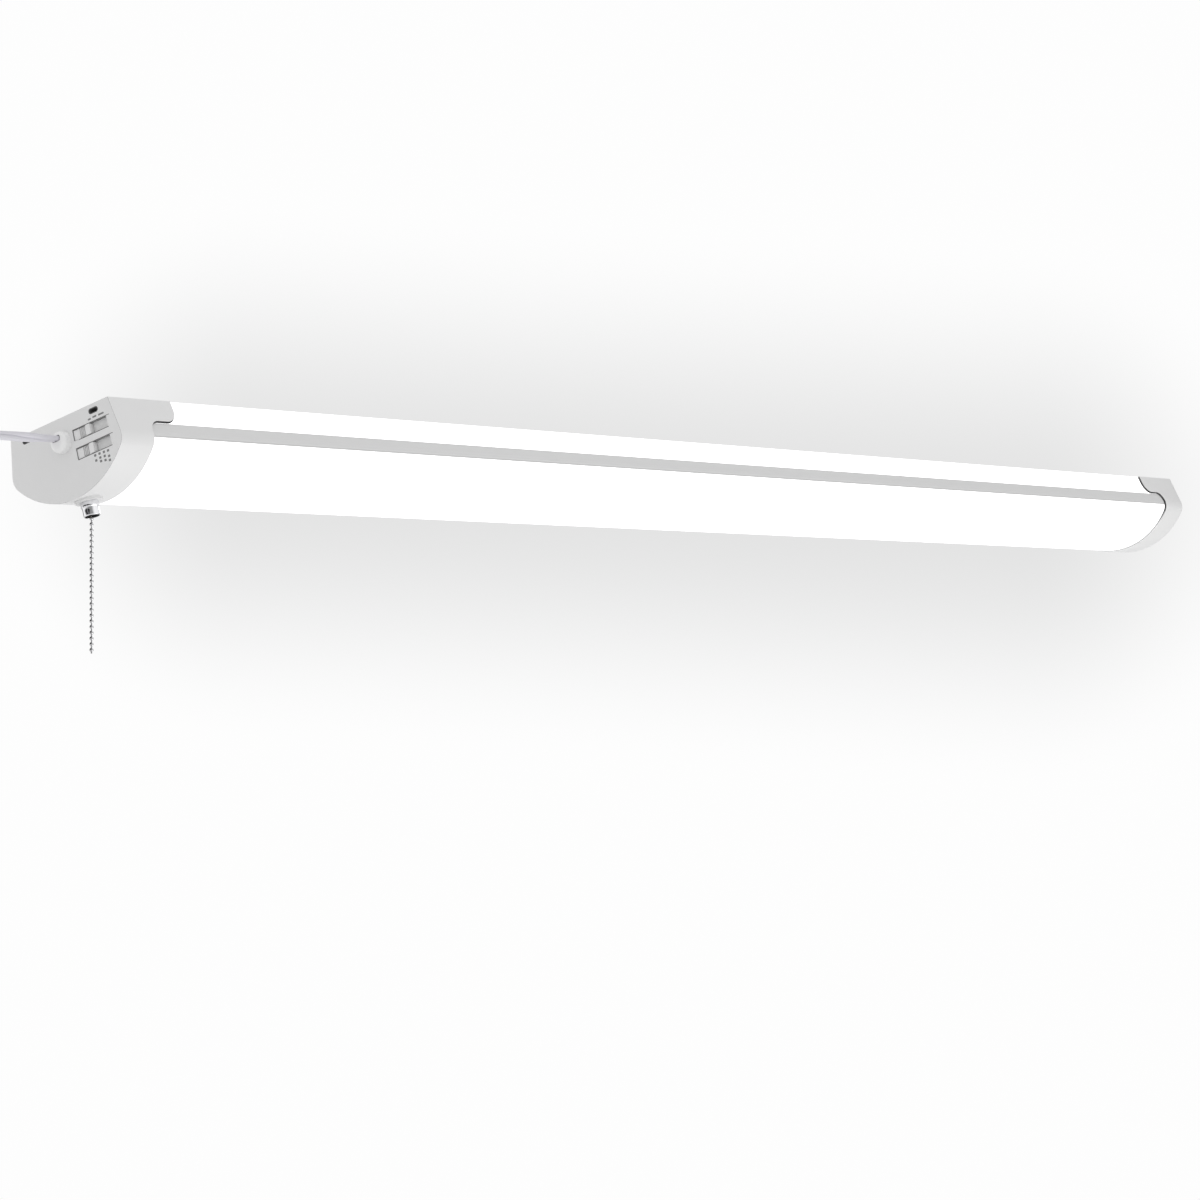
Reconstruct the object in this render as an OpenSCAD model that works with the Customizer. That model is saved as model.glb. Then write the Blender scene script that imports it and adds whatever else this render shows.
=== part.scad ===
// Hanging LED shop light, 4 ft, seen from below with its switch end to the left.
// X runs along the light, Y across it (the viewer stands at -Y) and Z up.
// The origin is on the flat top, midway between the two hanging holes.

/* [Fixture] */
// Overall length over both end caps
fixture_len = 1219; // [900:1:1500]
// Overall width at the widest line of the end caps
fixture_w = 89.5; // [86:0.5:96]
// Overall height, from the flat top to the lowest line of the belly
fixture_h = 47.8; // [46:0.1:54]
// Width of the flat top over the end caps
top_w = 80; // [77:0.5:84]
// Depth of the widest line below the top
shoulder_drop = 22.7; // [22:0.1:25]
// Radius of the rounded widest line
shoulder_r = 10; // [8:0.5:12]

/* [End caps] */
// Depth of an end cap along the light
cap_depth = 26.5; // [25:0.5:40]
// Wall of an end cap
cap_wall = 2; // [1.5:0.1:2.5]
// How far the body runs into an end cap
cap_lap = 8; // [5:0.5:10]
// How far an ear reaches past the rim of its cap
ear_len = 24; // [15:0.5:40]
// Height of an ear
ear_h = 13.7; // [11:0.1:14.5]
// Radius of the ear's lower corner
ear_r = 8.5; // [3:0.5:9]
// Fillet where the ear meets the rim
ear_fillet = 7.5; // [1:0.5:8]
// Thickness of the tongue that is screwed under the top plate
tongue_t = 2.2; // [1.5:0.1:3]
// Width of the tongue
tongue_w = 36; // [30:1:44]
// How far the tongue reaches under the top plate
tongue_reach = 14; // [10:1:20]
// Spacing of the two screws in a tongue
tongue_screw_pitch = 24; // [16:1:28]

/* [Hook slots] */
// Distance of a hook slot from the centre line
hook_y = 27.4; // [24:0.1:29]
// Depth of a hook slot below the top
hook_drop = 3.9; // [3.8:0.1:5]
// Length of the black hook socket in the end face
hook_len = 7.5; // [6:0.1:10]
// Height of the hook socket
hook_h = 3.2; // [2.8:0.1:3.5]
// Depth of the hook socket
hook_depth = 9; // [6:0.5:12]
// Wall of the hook socket
hook_wall = 0.5; // [0.4:0.1:0.8]

/* [Slide switches] */
// Length of a switch window in the end face
window_len = 27.6; // [26:0.1:30]
// Height of a switch window
window_h = 6.4; // [5.6:0.1:6.8]
// Distance of the windows' middle from the centre line
window_y = 22.3; // [22:0.1:23]
// Depth of the upper window's middle below the top
power_drop = 13.1; // [12.8:0.1:13.5]
// Depth of the lower window's middle below the top
colour_drop = 24; // [23:0.1:24.6]
// Depth of the pocket behind a window
pocket_depth = 2.6; // [2:0.1:3.5]
// Floor and walls of the pocket
pocket_wall = 1; // [0.8:0.1:1.2]
// Length of a slide knob
knob_len = 14.2; // [11:0.1:15]
// Travel of a slide knob
knob_travel = 10.4; // [6:0.1:12]
// Width of a knob's raised grip
grip_w = 3.3; // [2:0.1:4]
// How far the grip stands proud of the end face
grip_proud = 0.5; // [0:0.1:1]
// Pitch of the knob's grooves
groove_pitch = 1.2; // [1:0.1:1.4]
// Width of a groove
groove_w = 0.6; // [0.4:0.1:0.8]
// Width of a knob's stem
stem_w = 2.4; // [2:0.1:3]
// Thickness of a knob's stem
stem_t = 1.6; // [1.2:0.1:2]
// Depth of a slide switch's metal can
can_depth = 4.6; // [4:0.1:6]
// Height of the can
can_h = 6.2; // [5:0.1:7]
// Wall of the can beside the stem's slot
can_wall = 1.5; // [1:0.1:1.7]
// Thickness of the switch circuit board
switch_board_t = 1.6; // [1:0.2:2]
// Height of the switch circuit board
switch_board_h = 22.4; // [21:0.1:22.8]

/* [Cord gland] */
// Depth of the gland's middle below the top
gland_drop = 14.2; // [13.5:0.1:16]
// Radius of the gland's dome
gland_r = 6.3; // [6:0.1:6.8]
// Radius of the dome's rounded edge
gland_edge = 2.6; // [1:0.1:3.5]
// How far the dome stands out of the end face
gland_proud = 5.6; // [4:0.1:8]
// Radius of the gland's neck in the end wall
gland_neck_r = 5.6; // [5:0.1:5.8]
// Length of the gland behind the end face
gland_tail = 14; // [12:0.5:16]
// Thickness of the gland's nut
gland_nut_t = 3; // [2:0.1:4]
// Width of the cord slot
slot_w = 7; // [6.4:0.1:7.4]
// Height of the cord slot
slot_h = 3.4; // [3.3:0.1:3.8]
// Rise of the cord slot above the gland's middle
slot_rise = 2; // [1.5:0.1:2.2]

/* [Pull switch] */
// Distance of the pull switch's axis from the end face
pull_x = 11; // [10.5:0.1:13]
// Radius of the flat boss under the belly
boss_r = 8; // [7:0.1:9]
// Depth of the boss's face below the belly
boss_drop = 1.4; // [0.8:0.1:2]
// Radius of the switch's threaded neck
neck_r = 4.7; // [4.4:0.05:4.8]
// Radius of the neck's bore
neck_bore_r = 3.2; // [3:0.05:3.4]
// Length of the nozzle below the boss
nozzle_h = 8.4; // [7:0.1:10]
// Radius of the nozzle's flange
flange_r = 5.8; // [5.6:0.1:6.4]
// Thickness of the nozzle's flange
flange_t = 1.6; // [1:0.1:2]
// Radius of the nozzle's barrel
barrel_r = 5.2; // [5.1:0.05:5.4]
// Radius of the nozzle at its mouth
mouth_r = 4.85; // [4.6:0.05:5]
// Radius of the nozzle's mouth bore
mouth_bore_r = 3.9; // [3.7:0.05:4.1]
// Pull switch body along the light
switch_len = 14; // [12:0.5:14.5]
// Pull switch body across the light
switch_w = 17; // [15:0.5:17.5]
// Height of the pull switch body
switch_h = 15; // [13:0.5:15.5]
// Radius of the plunger
plunger_r = 3.12; // [2.9:0.01:3.15]
// Travel of the plunger when the chain is pulled
plunger_travel = 5; // [3:0.5:6]
// Thickness of the pad inside the cap under the pull switch
pad_t = 2; // [1:0.1:2.5]
// Thickness of the washer between the pad and the pull switch
washer_t = 1.2; // [0.8:0.1:1.6]

/* [Bead chain] */
// Diameter of a bead
bead_d = 2.4; // [2:0.1:2.6]
// Pitch of the beads
bead_pitch = 3.3; // [3:0.05:3.6]
// Diameter of the link wire between two beads
link_d = 0.8; // [0.6:0.05:1]
// Beads between the captive bead and the middle of the chain
upper_beads = 11; // [5:1:20]
// Beads from the middle of the chain to its end
lower_beads = 13; // [5:1:20]
// Swing of the chain towards the back, as photographed
lean_across = 7.8; // [0:0.1:12]
// Swing of the chain away from the light, as photographed
lean_along = 8.2; // [0:0.1:12]

/* [Spine] */
// Depth of the rail bands' upper edge below the top
band_top = 14.7; // [14.2:0.1:15.2]
// Depth of the rail bands' lower edge below the top
band_bottom = 23.7; // [23.2:0.1:24.4]
// Thickness of the rail bands
band_t = 1.5; // [1.2:0.1:1.6]
// Depth of the spine's web below the top
web_drop = 20; // [19:0.1:20.5]
// Thickness of the web
web_t = 1.5; // [1:0.1:1.6]
// How far the channel walls stand in from the edges of the top plate
channel_in = 3.7; // [3:0.1:4.5]
// Thickness of the channel walls
channel_t = 1.3; // [1:0.1:1.6]
// Width of the flange that carries the top plate
flange_w = 6; // [5.5:0.5:6.5]

/* [Lenses] */
// How far the body stands back from the cap's outer surface
lens_inset = 1.2; // [1:0.05:1.4]
// Thickness of the side lenses
side_lens_t = 1.4; // [1:0.1:1.4]
// Thickness of the lower diffuser
diffuser_t = 1.5; // [1.2:0.1:1.5]
// Thickness of the lenses' tongues behind the rail bands
tongue_lens_t = 1.1; // [0.9:0.1:1.2]
// Width of the side lens's lip on the top
lens_lip_w = 5; // [4:0.1:5.5]

/* [Top plate] */
// Thickness of the steel top plate
plate_t = 1; // [0.8:0.1:1.2]
// Spacing of the two hanging holes
hang_pitch = 1100; // [800:1:1110]
// Radius of a hanging hole
hang_r = 3.25; // [2.5:0.05:4]
// Screws along each side of the top plate
plate_screws_n = 4; // [2:1:8]

/* [LED boards] */
// Width of a lower LED board
board_w = 16; // [12:0.5:20]
// Thickness of a lower LED board
board_t = 1.2; // [1:0.1:1.6]
// Distance of the lower boards from the centre line
board_y = 17; // [14:0.5:20]
// Gap between the near and the far boards
board_gap = 8; // [4:1:20]
// Distance of the boards' outer ends from the ends of the spine
board_end = 9; // [4:1:20]
// LEDs on a lower board
leds_n = 30; // [12:1:40]
// Length of an LED
led_len = 3.5; // [2.5:0.1:5]
// Width of an LED
led_w = 2.8; // [2:0.1:4]
// Height of an LED
led_h = 0.7; // [0.5:0.1:1]
// Width of a side LED board
side_board_w = 9; // [7:0.5:10]
// Thickness of a side LED board
side_board_t = 1; // [0.8:0.1:1.2]
// LEDs on a side board
side_leds_n = 40; // [20:1:60]

/* [Driver] */
// Distance of the driver's near end from the near end of the spine
driver_x = 150; // [90:1:300]
// Length of the driver case
driver_len = 220; // [180:1:300]
// Width of the driver case
driver_w = 44; // [38:0.5:46]
// Height of the driver case with its cover
driver_h = 15; // [14:0.1:16]
// Sheet of the driver case
driver_t = 0.8; // [0.6:0.1:1]
// Length of the driver's mounting ears
driver_ear = 9; // [8:0.5:12]
// Width of the driver's mounting ears
driver_ear_w = 16; // [12:0.5:24]
// Length of a vent in the driver's cover
vent_len = 20; // [10:1:30]
// Width of a vent
vent_w = 2; // [1:0.5:3]
// Pitch of the vents
vent_pitch = 10; // [6:0.5:14]
// Thickness of the driver's circuit board
driver_board_t = 1.6; // [1:0.1:2]
// Height of the spacers under the driver's circuit board
spacer_h = 2; // [1.5:0.1:3]
// Margin round the driver's circuit board
board_margin = 4; // [2:0.5:6]
// Length of the transformer
core_len = 20; // [14:0.5:26]
// Width of the transformer
core_w = 16; // [10:0.5:20]
// Length of an input capacitor
capacitor_len = 14; // [10:0.5:16]
// Radius of the filter choke
choke_r = 8; // [6:0.5:9]
// Length of the heat-sink bar
sink_len = 40; // [20:1:46]
// Thickness of the heat-sink bar
sink_t = 3; // [2:0.5:4]
// Gap between the parts on the driver's circuit board
part_gap = 10; // [4:0.5:12]
// Length of the terminal block
block_len = 18; // [14:0.5:24]
// Width of the terminal block
block_w = 24; // [18:0.5:30]
// Height of the terminal block
block_h = 9; // [7:0.5:11]

/* [Screws] */
// Radius of the screws
screw_r = 1.45; // [1.2:0.05:1.6]
// Radius of a flat screw head
screw_head_r = 2.8; // [2.5:0.1:3.2]
// Length of the plate and tongue screws
screw_len = 6; // [5:0.5:7]
// Height of a pan head
pan_h = 1.6; // [1.2:0.1:2]

/* [Mains cord] */
// Width of the flat twin cord
cord_w = 5.6; // [5.4:0.1:6]
// Thickness of the flat twin cord
cord_t = 3; // [2.8:0.1:3.2]
// Outer radius of the cord coil at the cord's middle
coil_r = 37; // [36:0.5:38]
// Loops of the coil, wound in and out again in two layers
coil_loops = 6; // [4:2:8]
// Step from one turn of the coil to the next
coil_step = 3.6; // [3.5:0.05:4]
// Step from the coil's first layer to its second
layer_step = 6.2; // [6.1:0.05:7]
// Length of cord between the coil and the plug
tail_len = 40; // [30:1:60]
// Width of the cord tie
tie_w = 9; // [6:0.5:12]
// Thickness of the cord tie
tie_t = 1; // [0.8:0.1:1.5]
// Room between the tie and the turns it holds
tie_slack = 0.7; // [0.5:0.1:1.5]

/* [Plug] */
// Length of the plug's body
plug_len = 26; // [22:0.5:32]
// Width of the plug's body across the blades
plug_w = 25; // [22:0.5:28]
// Thickness of the plug's body
plug_t = 12; // [10:0.5:15]
// Length of the plug's tapered neck
plug_neck = 20; // [14:0.5:24]
// Spacing of the blades
blade_pitch = 12.7; // [12.5:0.1:12.9]
// Length of the blades
blade_len = 16; // [15:0.5:18]
// Width of the narrow blade
blade_w = 6.35; // [6:0.05:6.5]
// Width of the wide blade
wide_blade_w = 7.9; // [7.5:0.1:8]
// Thickness of the blades
blade_t = 1.5; // [1.4:0.1:1.6]

/* [Hidden] */

eps = 0.01;
seam = 0.004;           // the flats and the belly stand this proud of the rounded shoulders
fit_gap = 0.1;          // between pieces of one body that slot together
move_gap = 0.3;         // between pieces that move past each other
screw_gap = 0.05;       // between a screw and its hole

plastic_white = "gainsboro";
steel_white = "whitesmoke";
lens_white = "ivory";
board_white = "white";
steel_grey = "silver";
chrome_grey = "lightsteelblue";
brass_gold = "goldenrod";
rubber_black = "#202024";
cord_grey = "#d4d2dc";

half_len = fixture_len / 2;
end_x = -half_len;
shoulder_y = fixture_w / 2 - shoulder_r;
keel = fixture_h - shoulder_r - shoulder_drop;
belly_r = shoulder_r + (pow(shoulder_y, 2) + pow(keel, 2)) / (2 * keel);
belly_z = belly_r - fixture_h;
brow = [top_w / 2 - shoulder_y, shoulder_drop];
lean = atan2(brow.y, brow.x) - acos(shoulder_r / norm(brow));
arc_fn = 96;
round_fn = 48;

body_half = half_len - cap_depth + cap_lap;
step_x = cap_depth - cap_lap;

stem_depth = pocket_depth + pocket_wall;
knob_y = -window_y + window_len / 2 - move_gap - knob_len / 2;
stem_y = knob_len / 2 - stem_w / 2 - move_gap;          // from the knob's middle, hidden under its rear
slot_y = knob_y + stem_y - knob_travel / 2;             // middle of the stem's slot
stem_slot = knob_travel + stem_w + 2 * move_gap;
can_len = stem_slot + 2 * can_wall;
can_back = stem_depth + can_depth;

belly_floor = -fixture_h + cap_wall;
boss_z = -fixture_h - boss_drop;
nozzle_z = boss_z - nozzle_h;
pad_z = belly_floor + pad_t;
switch_z = pad_z + washer_t;
bead_r = bead_d / 2;
pivot_z = nozzle_z + 2.1;

lower_z = -web_drop - web_t;
plate_y = side_y(lens_inset, 0) - lens_lip_w - fit_gap;
channel_y = plate_y - channel_in;
side_board_z = -(band_top - side_board_w / 2) + 2.6;
lens_back = lens_inset + band_t + fit_gap;
driver_near = -body_half + driver_x;
block_x = driver_near - driver_ear - block_len - 12;
plate_screw_y = channel_y - flange_w / 2;

cord_z = -gland_drop + slot_rise;
coil_gate = -750;                          // the cord hangs down this line into the coil
coil_x = coil_gate - coil_r;
coil_z = -130;
gate_z = coil_z + cord_w;                  // the coil's straight ends are one cord width long
tail_z = coil_z - cord_w;
layer_y = [-layer_step / 2, layer_step / 2];
climb_dip = 2;
edge_turn = 100;                           // how far the cord has twisted where it stands on edge

// ---- shared geometry -------------------------------------------------------

// Half width of the leaning side at height z, set in from the cap's surface
function side_y(inset, z) =
    shoulder_y + (shoulder_r - inset) * cos(lean)
    - (z + shoulder_drop - (shoulder_r - inset) * sin(lean)) * tan(lean);

// Cross-section: flat top, leaning sides, rounded shoulders and an arc below
module section(inset = 0, top = 0) {
    r = shoulder_r - inset;
    tangent = [shoulder_y + (r + seam) * cos(lean), -shoulder_drop + (r + seam) * sin(lean)];
    edge = side_y(inset - seam, -top);
    reach = 3;
    union() {
        polygon([
            [edge, -top], [-edge, -top], [-tangent.x, tangent.y], [-shoulder_y, -shoulder_drop],
            [shoulder_y, -shoulder_drop], tangent
        ]);
        for (side = [-1, 1]) translate([side * shoulder_y, -shoulder_drop]) circle(r, $fn = arc_fn);
        intersection() {
            translate([0, belly_z]) circle(belly_r - inset + seam, $fn = arc_fn * 2);
            polygon([
                [shoulder_y, -shoulder_drop],
                [-shoulder_y, -shoulder_drop],
                [-reach * shoulder_y, belly_z - reach * (shoulder_drop + belly_z)],
                [reach * shoulder_y, belly_z - reach * (shoulder_drop + belly_z)]
            ]);
        }
    }
}

// Part of the wall between two insets, from height z0 up to z1
module wall_band(outer, inner, z0, z1) {
    intersection() {
        difference() {
            section(outer, -1);
            section(inner, -2);
        }
        translate([-fixture_w, z0]) square([2 * fixture_w, z1 - z0]);
    }
}

// Runs a cross-section (x = depth, y = height) along X
module along(x0, x1) {
    translate([x0, 0, 0]) rotate([90, 0, 90]) linear_extrude(x1 - x0) children();
}

// Runs an outline (x = length, y = height) across the light
module across(y0, y1) {
    translate([0, y1, 0]) rotate([90, 0, 0]) linear_extrude(y1 - y0) children();
}

module rounded(w, h, r) {
    square([w - 2 * r, h], center = true);
    square([w, h - 2 * r], center = true);
    for (x = [-1, 1], y = [-1, 1])
        translate([x * (w / 2 - r), y * (h / 2 - r)]) circle(r, $fn = 32);
}

module at_near_end() {
    translate([end_x, 0, 0]) children();
}

module at_far_end() {
    mirror([1, 0, 0]) translate([end_x, 0, 0]) children();
}

module front_and_back() {
    for (side = [0, 1]) mirror([0, side, 0]) children();
}

// Flat-head screw with its head flush at z = 0
module flat_screw(len) {
    cylinder(h = eps, r = screw_head_r, $fn = 32);
    translate([0, 0, -screw_head_r + screw_r])
        cylinder(h = screw_head_r - screw_r, r1 = screw_r, r2 = screw_head_r, $fn = 32);
    translate([0, 0, -len]) cylinder(h = len - screw_head_r + screw_r, r = screw_r, $fn = 32);
}

module flat_screw_hole(len) {
    translate([0, 0, -screw_head_r + screw_r])
        cylinder(h = screw_head_r - screw_r + 2 * eps, r1 = screw_r + screw_gap,
                 r2 = screw_head_r + screw_gap + 2 * eps, $fn = 32);
    translate([0, 0, -len]) cylinder(h = len, r = screw_r + screw_gap, $fn = 32);
}

function plate_screw_x(i) =
    let (span = 2 * body_half - 120)
    -span / 2 + i * span / (plate_screws_n - 1);

module at_plate_screws() {
    for (side = [-1, 1], i = [0:plate_screws_n - 1])
        translate([plate_screw_x(i), side * plate_screw_y, 0]) children();
}

module at_tongue_screws() {
    for (end = [-1, 1], side = [-1, 1])
        translate([end * (body_half - tongue_reach / 2), side * tongue_screw_pitch / 2, 0]) children();
}

// ---- body ------------------------------------------------------------------

// Extruded spine: web, channel walls, lens grooves and the grey rail bands
module spine() {
    leg_y = side_y(lens_back + tongue_lens_t, -shoulder_drop) - 3.4;
    web_y = side_y(lens_inset + band_t / 2, lower_z);
    color(steel_white) difference() {
        along(-body_half, body_half) {
            wall_band(lens_inset, lens_inset + band_t, -band_bottom, -band_top);
            translate([-web_y, lower_z]) square([2 * web_y, web_t]);
            for (side = [0, 1]) mirror([side, 0]) {
                translate([channel_y, lower_z + eps]) square([channel_t, -plate_t - lower_z - eps]);
                translate([channel_y - flange_w, -plate_t - 1.2]) square([flange_w + eps, 1.2]);
                translate([channel_y + eps, -side_lens_t - 1.2]) square([channel_t + 4, 1.2]);
                translate([leg_y, -web_drop - web_t - 4.6]) square([1.2, 4.6 + eps]);
                translate([leg_y, -web_drop - web_t - 4.6]) square([2.6, 1.1]);
            }
        }
        at_plate_screws() flat_screw_hole(screw_len + 1);
        translate([driver_near + driver_len + 40, 0, lower_z - 1]) cylinder(h = web_t + 2, r = 4, $fn = 32);
    }
}

module top_plate() {
    color(steel_white) difference() {
        translate([-body_half, -plate_y, -plate_t]) cube([2 * body_half, 2 * plate_y, plate_t]);
        for (side = [-1, 1]) translate([side * hang_pitch / 2, 0, -plate_t - 1])
            cylinder(h = plate_t + 2, r = hang_r, $fn = round_fn);
        at_plate_screws() flat_screw_hole(screw_len);
        at_tongue_screws() flat_screw_hole(screw_len);
    }
}

module plate_screws() {
    color(steel_grey) at_plate_screws() flat_screw(screw_len);
}

module cap_screws() {
    color(steel_grey) at_tongue_screws() flat_screw(screw_len - 2);
}

// Wrap diffuser with tongues behind the rail bands and feet on the spine's hooks
module lower_diffuser() {
    seat = -band_bottom - fit_gap;
    heel = side_y(lens_back + tongue_lens_t, -shoulder_drop);
    foot_w = 2.4;
    color(lens_white) along(-body_half, body_half) {
        wall_band(lens_inset, lens_inset + diffuser_t, -fixture_h, seat);
        wall_band(lens_inset, lens_back + tongue_lens_t, seat - 1.4, seat);
        wall_band(lens_back, lens_back + tongue_lens_t, seat - 1.4, lower_z - fit_gap);
        for (side = [-1, 1]) translate([side * (heel - foot_w / 2 + 0.4), seat - 0.5])
            square([foot_w, 1], center = true);
    }
}

// Uplight lens in the leaning side, with a lip over the top and a tongue behind the band
module side_lens() {
    seat = -band_top + fit_gap;
    lip = side_y(lens_inset, 0) - lens_lip_w;
    color(lens_white) along(-body_half, body_half) intersection() {
        union() {
            wall_band(lens_inset, lens_inset + side_lens_t, seat, 0);
            wall_band(lens_inset, lens_back + tongue_lens_t, seat, seat + 1.3);
            wall_band(lens_back, lens_back + tongue_lens_t, seat - 3, seat + eps);
            intersection() {
                section(lens_inset);
                translate([-fixture_w, -side_lens_t]) square([fixture_w - lip, side_lens_t]);
            }
        }
        translate([-fixture_w, -fixture_h]) square([fixture_w, fixture_h]);
    }
}

module front_side_lens() {
    side_lens();
}

module back_side_lens() {
    mirror([0, 1, 0]) side_lens();
}

// ---- end caps --------------------------------------------------------------

module ear_outline() {
    tip = cap_depth + ear_len;
    difference() {
        union() {
            translate([0, -ear_h]) square([tip - ear_r, ear_h]);
            translate([0, -ear_h + ear_r]) square([tip, ear_h - ear_r]);
            translate([tip - ear_r, -ear_h + ear_r]) circle(ear_r, $fn = round_fn);
            translate([0, -ear_h - ear_fillet]) square([cap_depth + ear_fillet, ear_fillet + eps]);
        }
        translate([cap_depth + ear_fillet, -ear_h - ear_fillet]) circle(ear_fillet, $fn = round_fn);
    }
}

module hook_outline(grow) {
    h = hook_h + 2 * grow;
    square([hook_len - hook_h, h], center = true);
    for (side = [-1, 1]) translate([side * (hook_len - hook_h) / 2, 0]) circle(h / 2, $fn = round_fn);
}

module at_hooks() {
    for (side = [-1, 1]) translate([0, side * hook_y, -hook_drop]) children();
}

// Room inside the rim and under the ears for the body's end
module body_seat() {
    along(step_x, cap_depth + ear_len + 1) section(lens_inset - fit_gap, -1);
}

// Cap moulding, its end face at x = 0 and its rim towards +X
module cap_shell() {
    difference() {
        union() {
            along(0, cap_depth) section();
            intersection() {
                along(0, cap_depth + ear_len) section();
                across(-fixture_w, fixture_w) ear_outline();
            }
        }
        along(cap_wall, cap_depth + eps) section(cap_wall, cap_wall);
        body_seat();
        at_hooks() along(-1, cap_wall + 1) hook_outline(screw_gap);
    }
    difference() {
        translate([step_x - 8, -tongue_w / 2, -plate_t - tongue_t])
            cube([8 + tongue_reach, tongue_w, tongue_t]);
        for (side = [-1, 1])
            translate([step_x + tongue_reach / 2, side * tongue_screw_pitch / 2, 0])
                flat_screw_hole(screw_len);
    }
}

module at_windows() {
    for (drop = [power_drop, colour_drop]) translate([0, -window_y, -drop]) children();
}

module at_board_posts() {
    for (y = [-13.4, -31.4]) translate([0, y, -colour_drop - window_h / 2 - 3.6]) children();
}

// Moulded end cap with switch windows, gland hole and the boss for the pull switch
module switch_end_cap() {
    color(plastic_white) at_near_end() difference() {
        union() {
            cap_shell();
            at_windows() along(cap_wall - eps, stem_depth)
                rounded(window_len + 2 * pocket_wall, window_h + 2 * pocket_wall, 1);
            at_board_posts() rotate([0, 90, 0])
                translate([0, 0, 1]) cylinder(h = can_back - 1, r = 2.2, $fn = round_fn);
            translate([pull_x, 0, boss_z]) cylinder(h = pad_z - boss_z, r = boss_r, $fn = arc_fn);
        }
        body_seat();
        at_windows() along(-1, pocket_depth) rounded(window_len, window_h, 0.6);
        at_windows() translate([0, window_y + slot_y, 0]) along(0, stem_depth + 1)
            rounded(stem_slot, stem_t + 2 * move_gap, 0.4);
        at_board_posts() rotate([0, 90, 0])
            translate([0, 0, can_back - 5]) cylinder(h = 6, r = screw_r - 0.2, $fn = 32);
        translate([-1, 0, -gland_drop]) rotate([0, 90, 0])
            cylinder(h = cap_wall + 2, r = gland_neck_r + screw_gap, $fn = round_fn);
        translate([pull_x, 0, boss_z - 1])
            cylinder(h = pad_z - boss_z + 2, r = neck_r + screw_gap, $fn = round_fn);
    }
}

module plain_end_cap() {
    color(plastic_white) at_far_end() cap_shell();
}

// Blind black sockets that take the feet of the V-shaped hanging wires
module hook_socket() {
    difference() {
        union() {
            along(0, hook_depth) hook_outline(0);
            along(cap_wall, cap_wall + 0.8) rounded(hook_len + 3, hook_h - 0.2, 0.8);
        }
        along(-1, hook_depth - hook_wall) hook_outline(-hook_wall);
    }
}

module hook_sockets() {
    color(rubber_black) {
        at_near_end() at_hooks() hook_socket();
        at_far_end() at_hooks() hook_socket();
    }
}

// ---- slide switches --------------------------------------------------------

// Knob with fine grooves, a raised grip at its leading end and a stem into the switch
module slide_knob(drop) {
    face_x = 0.5;
    base_x = pocket_depth - move_gap;
    grip_y = -knob_len / 2 + 0.2;
    groove_y = grip_y + grip_w + 1.6;
    color(plastic_white) at_near_end() translate([0, knob_y, -drop]) {
        difference() {
            along(face_x, base_x) rounded(knob_len, window_h - 2 * move_gap, 0.5);
            for (i = [0:3]) translate([face_x - 1, groove_y + i * groove_pitch, -window_h / 2])
                cube([1.7, groove_w, window_h]);
        }
        translate([-grip_proud, grip_y, -window_h / 2 + move_gap])
            cube([base_x + grip_proud, grip_w, window_h - 2 * move_gap]);
        translate([0, stem_y, 0]) along(base_x - eps, stem_depth + can_depth - 2)
            square([stem_w, stem_t], center = true);
    }
}

module power_knob() {
    slide_knob(power_drop);
}

module colour_knob() {
    slide_knob(colour_drop);
}

// Metal-can slide switch behind a window
module slide_switch(drop) {
    color(steel_grey) at_near_end() translate([0, slot_y, -drop]) difference() {
        along(stem_depth, can_back) rounded(can_len, can_h, 0.5);
        along(stem_depth - 1, can_back - 1) square([stem_slot, stem_t + 2 * move_gap], center = true);
    }
}

module power_switch() {
    slide_switch(power_drop);
}

module colour_switch() {
    slide_switch(colour_drop);
}

module switch_board() {
    board_w_y = window_len - 1;
    board_top = -power_drop + can_h / 2 + 0.4;
    color("seagreen") at_near_end() difference() {
        translate([can_back, -window_y - board_w_y / 2, board_top - switch_board_h])
            cube([switch_board_t, board_w_y, switch_board_h]);
        at_board_posts() rotate([0, 90, 0])
            translate([0, 0, can_back - 1]) cylinder(h = 4, r = screw_r + screw_gap, $fn = 32);
    }
}

module switch_board_screws() {
    color(steel_grey) at_near_end() at_board_posts() rotate([0, 90, 0]) {
        translate([0, 0, can_back - 4.5])
            cylinder(h = 4.5 + switch_board_t, r = screw_r - 0.2 - screw_gap, $fn = 32);
        translate([0, 0, can_back + switch_board_t]) cylinder(h = pan_h, r = screw_head_r - 0.4, $fn = 32);
    }
}

// ---- cord gland ------------------------------------------------------------

module cord_slot(x0, x1) {
    translate([0, 0, slot_rise]) along(x0, x1) rounded(slot_w, slot_h, slot_h / 2 - 0.1);
}

// Moulded strain relief: a dome outside, a plain neck and a tapered tail inside
module cord_gland() {
    crown_r = gland_r - gland_edge;
    color("white") at_near_end() translate([0, 0, -gland_drop]) difference() {
        rotate([0, 90, 0]) rotate_extrude($fn = arc_fn) {
            translate([0, -gland_proud]) square([crown_r, gland_proud]);
            translate([0, gland_edge - gland_proud]) square([gland_r, gland_proud - gland_edge]);
            translate([crown_r, gland_edge - gland_proud]) intersection() {
                circle(gland_edge, $fn = arc_fn);
                translate([0, -gland_edge]) square(gland_edge);
            }
            translate([0, -eps]) square([gland_neck_r, cap_wall + gland_nut_t + 1]);
            polygon([
                [0, cap_wall], [gland_neck_r - 0.4, cap_wall + gland_nut_t + 0.9],
                [gland_neck_r - 0.6, gland_tail], [0, gland_tail]
            ]);
        }
        cord_slot(-gland_proud - 1, gland_tail + 1);
    }
}

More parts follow.
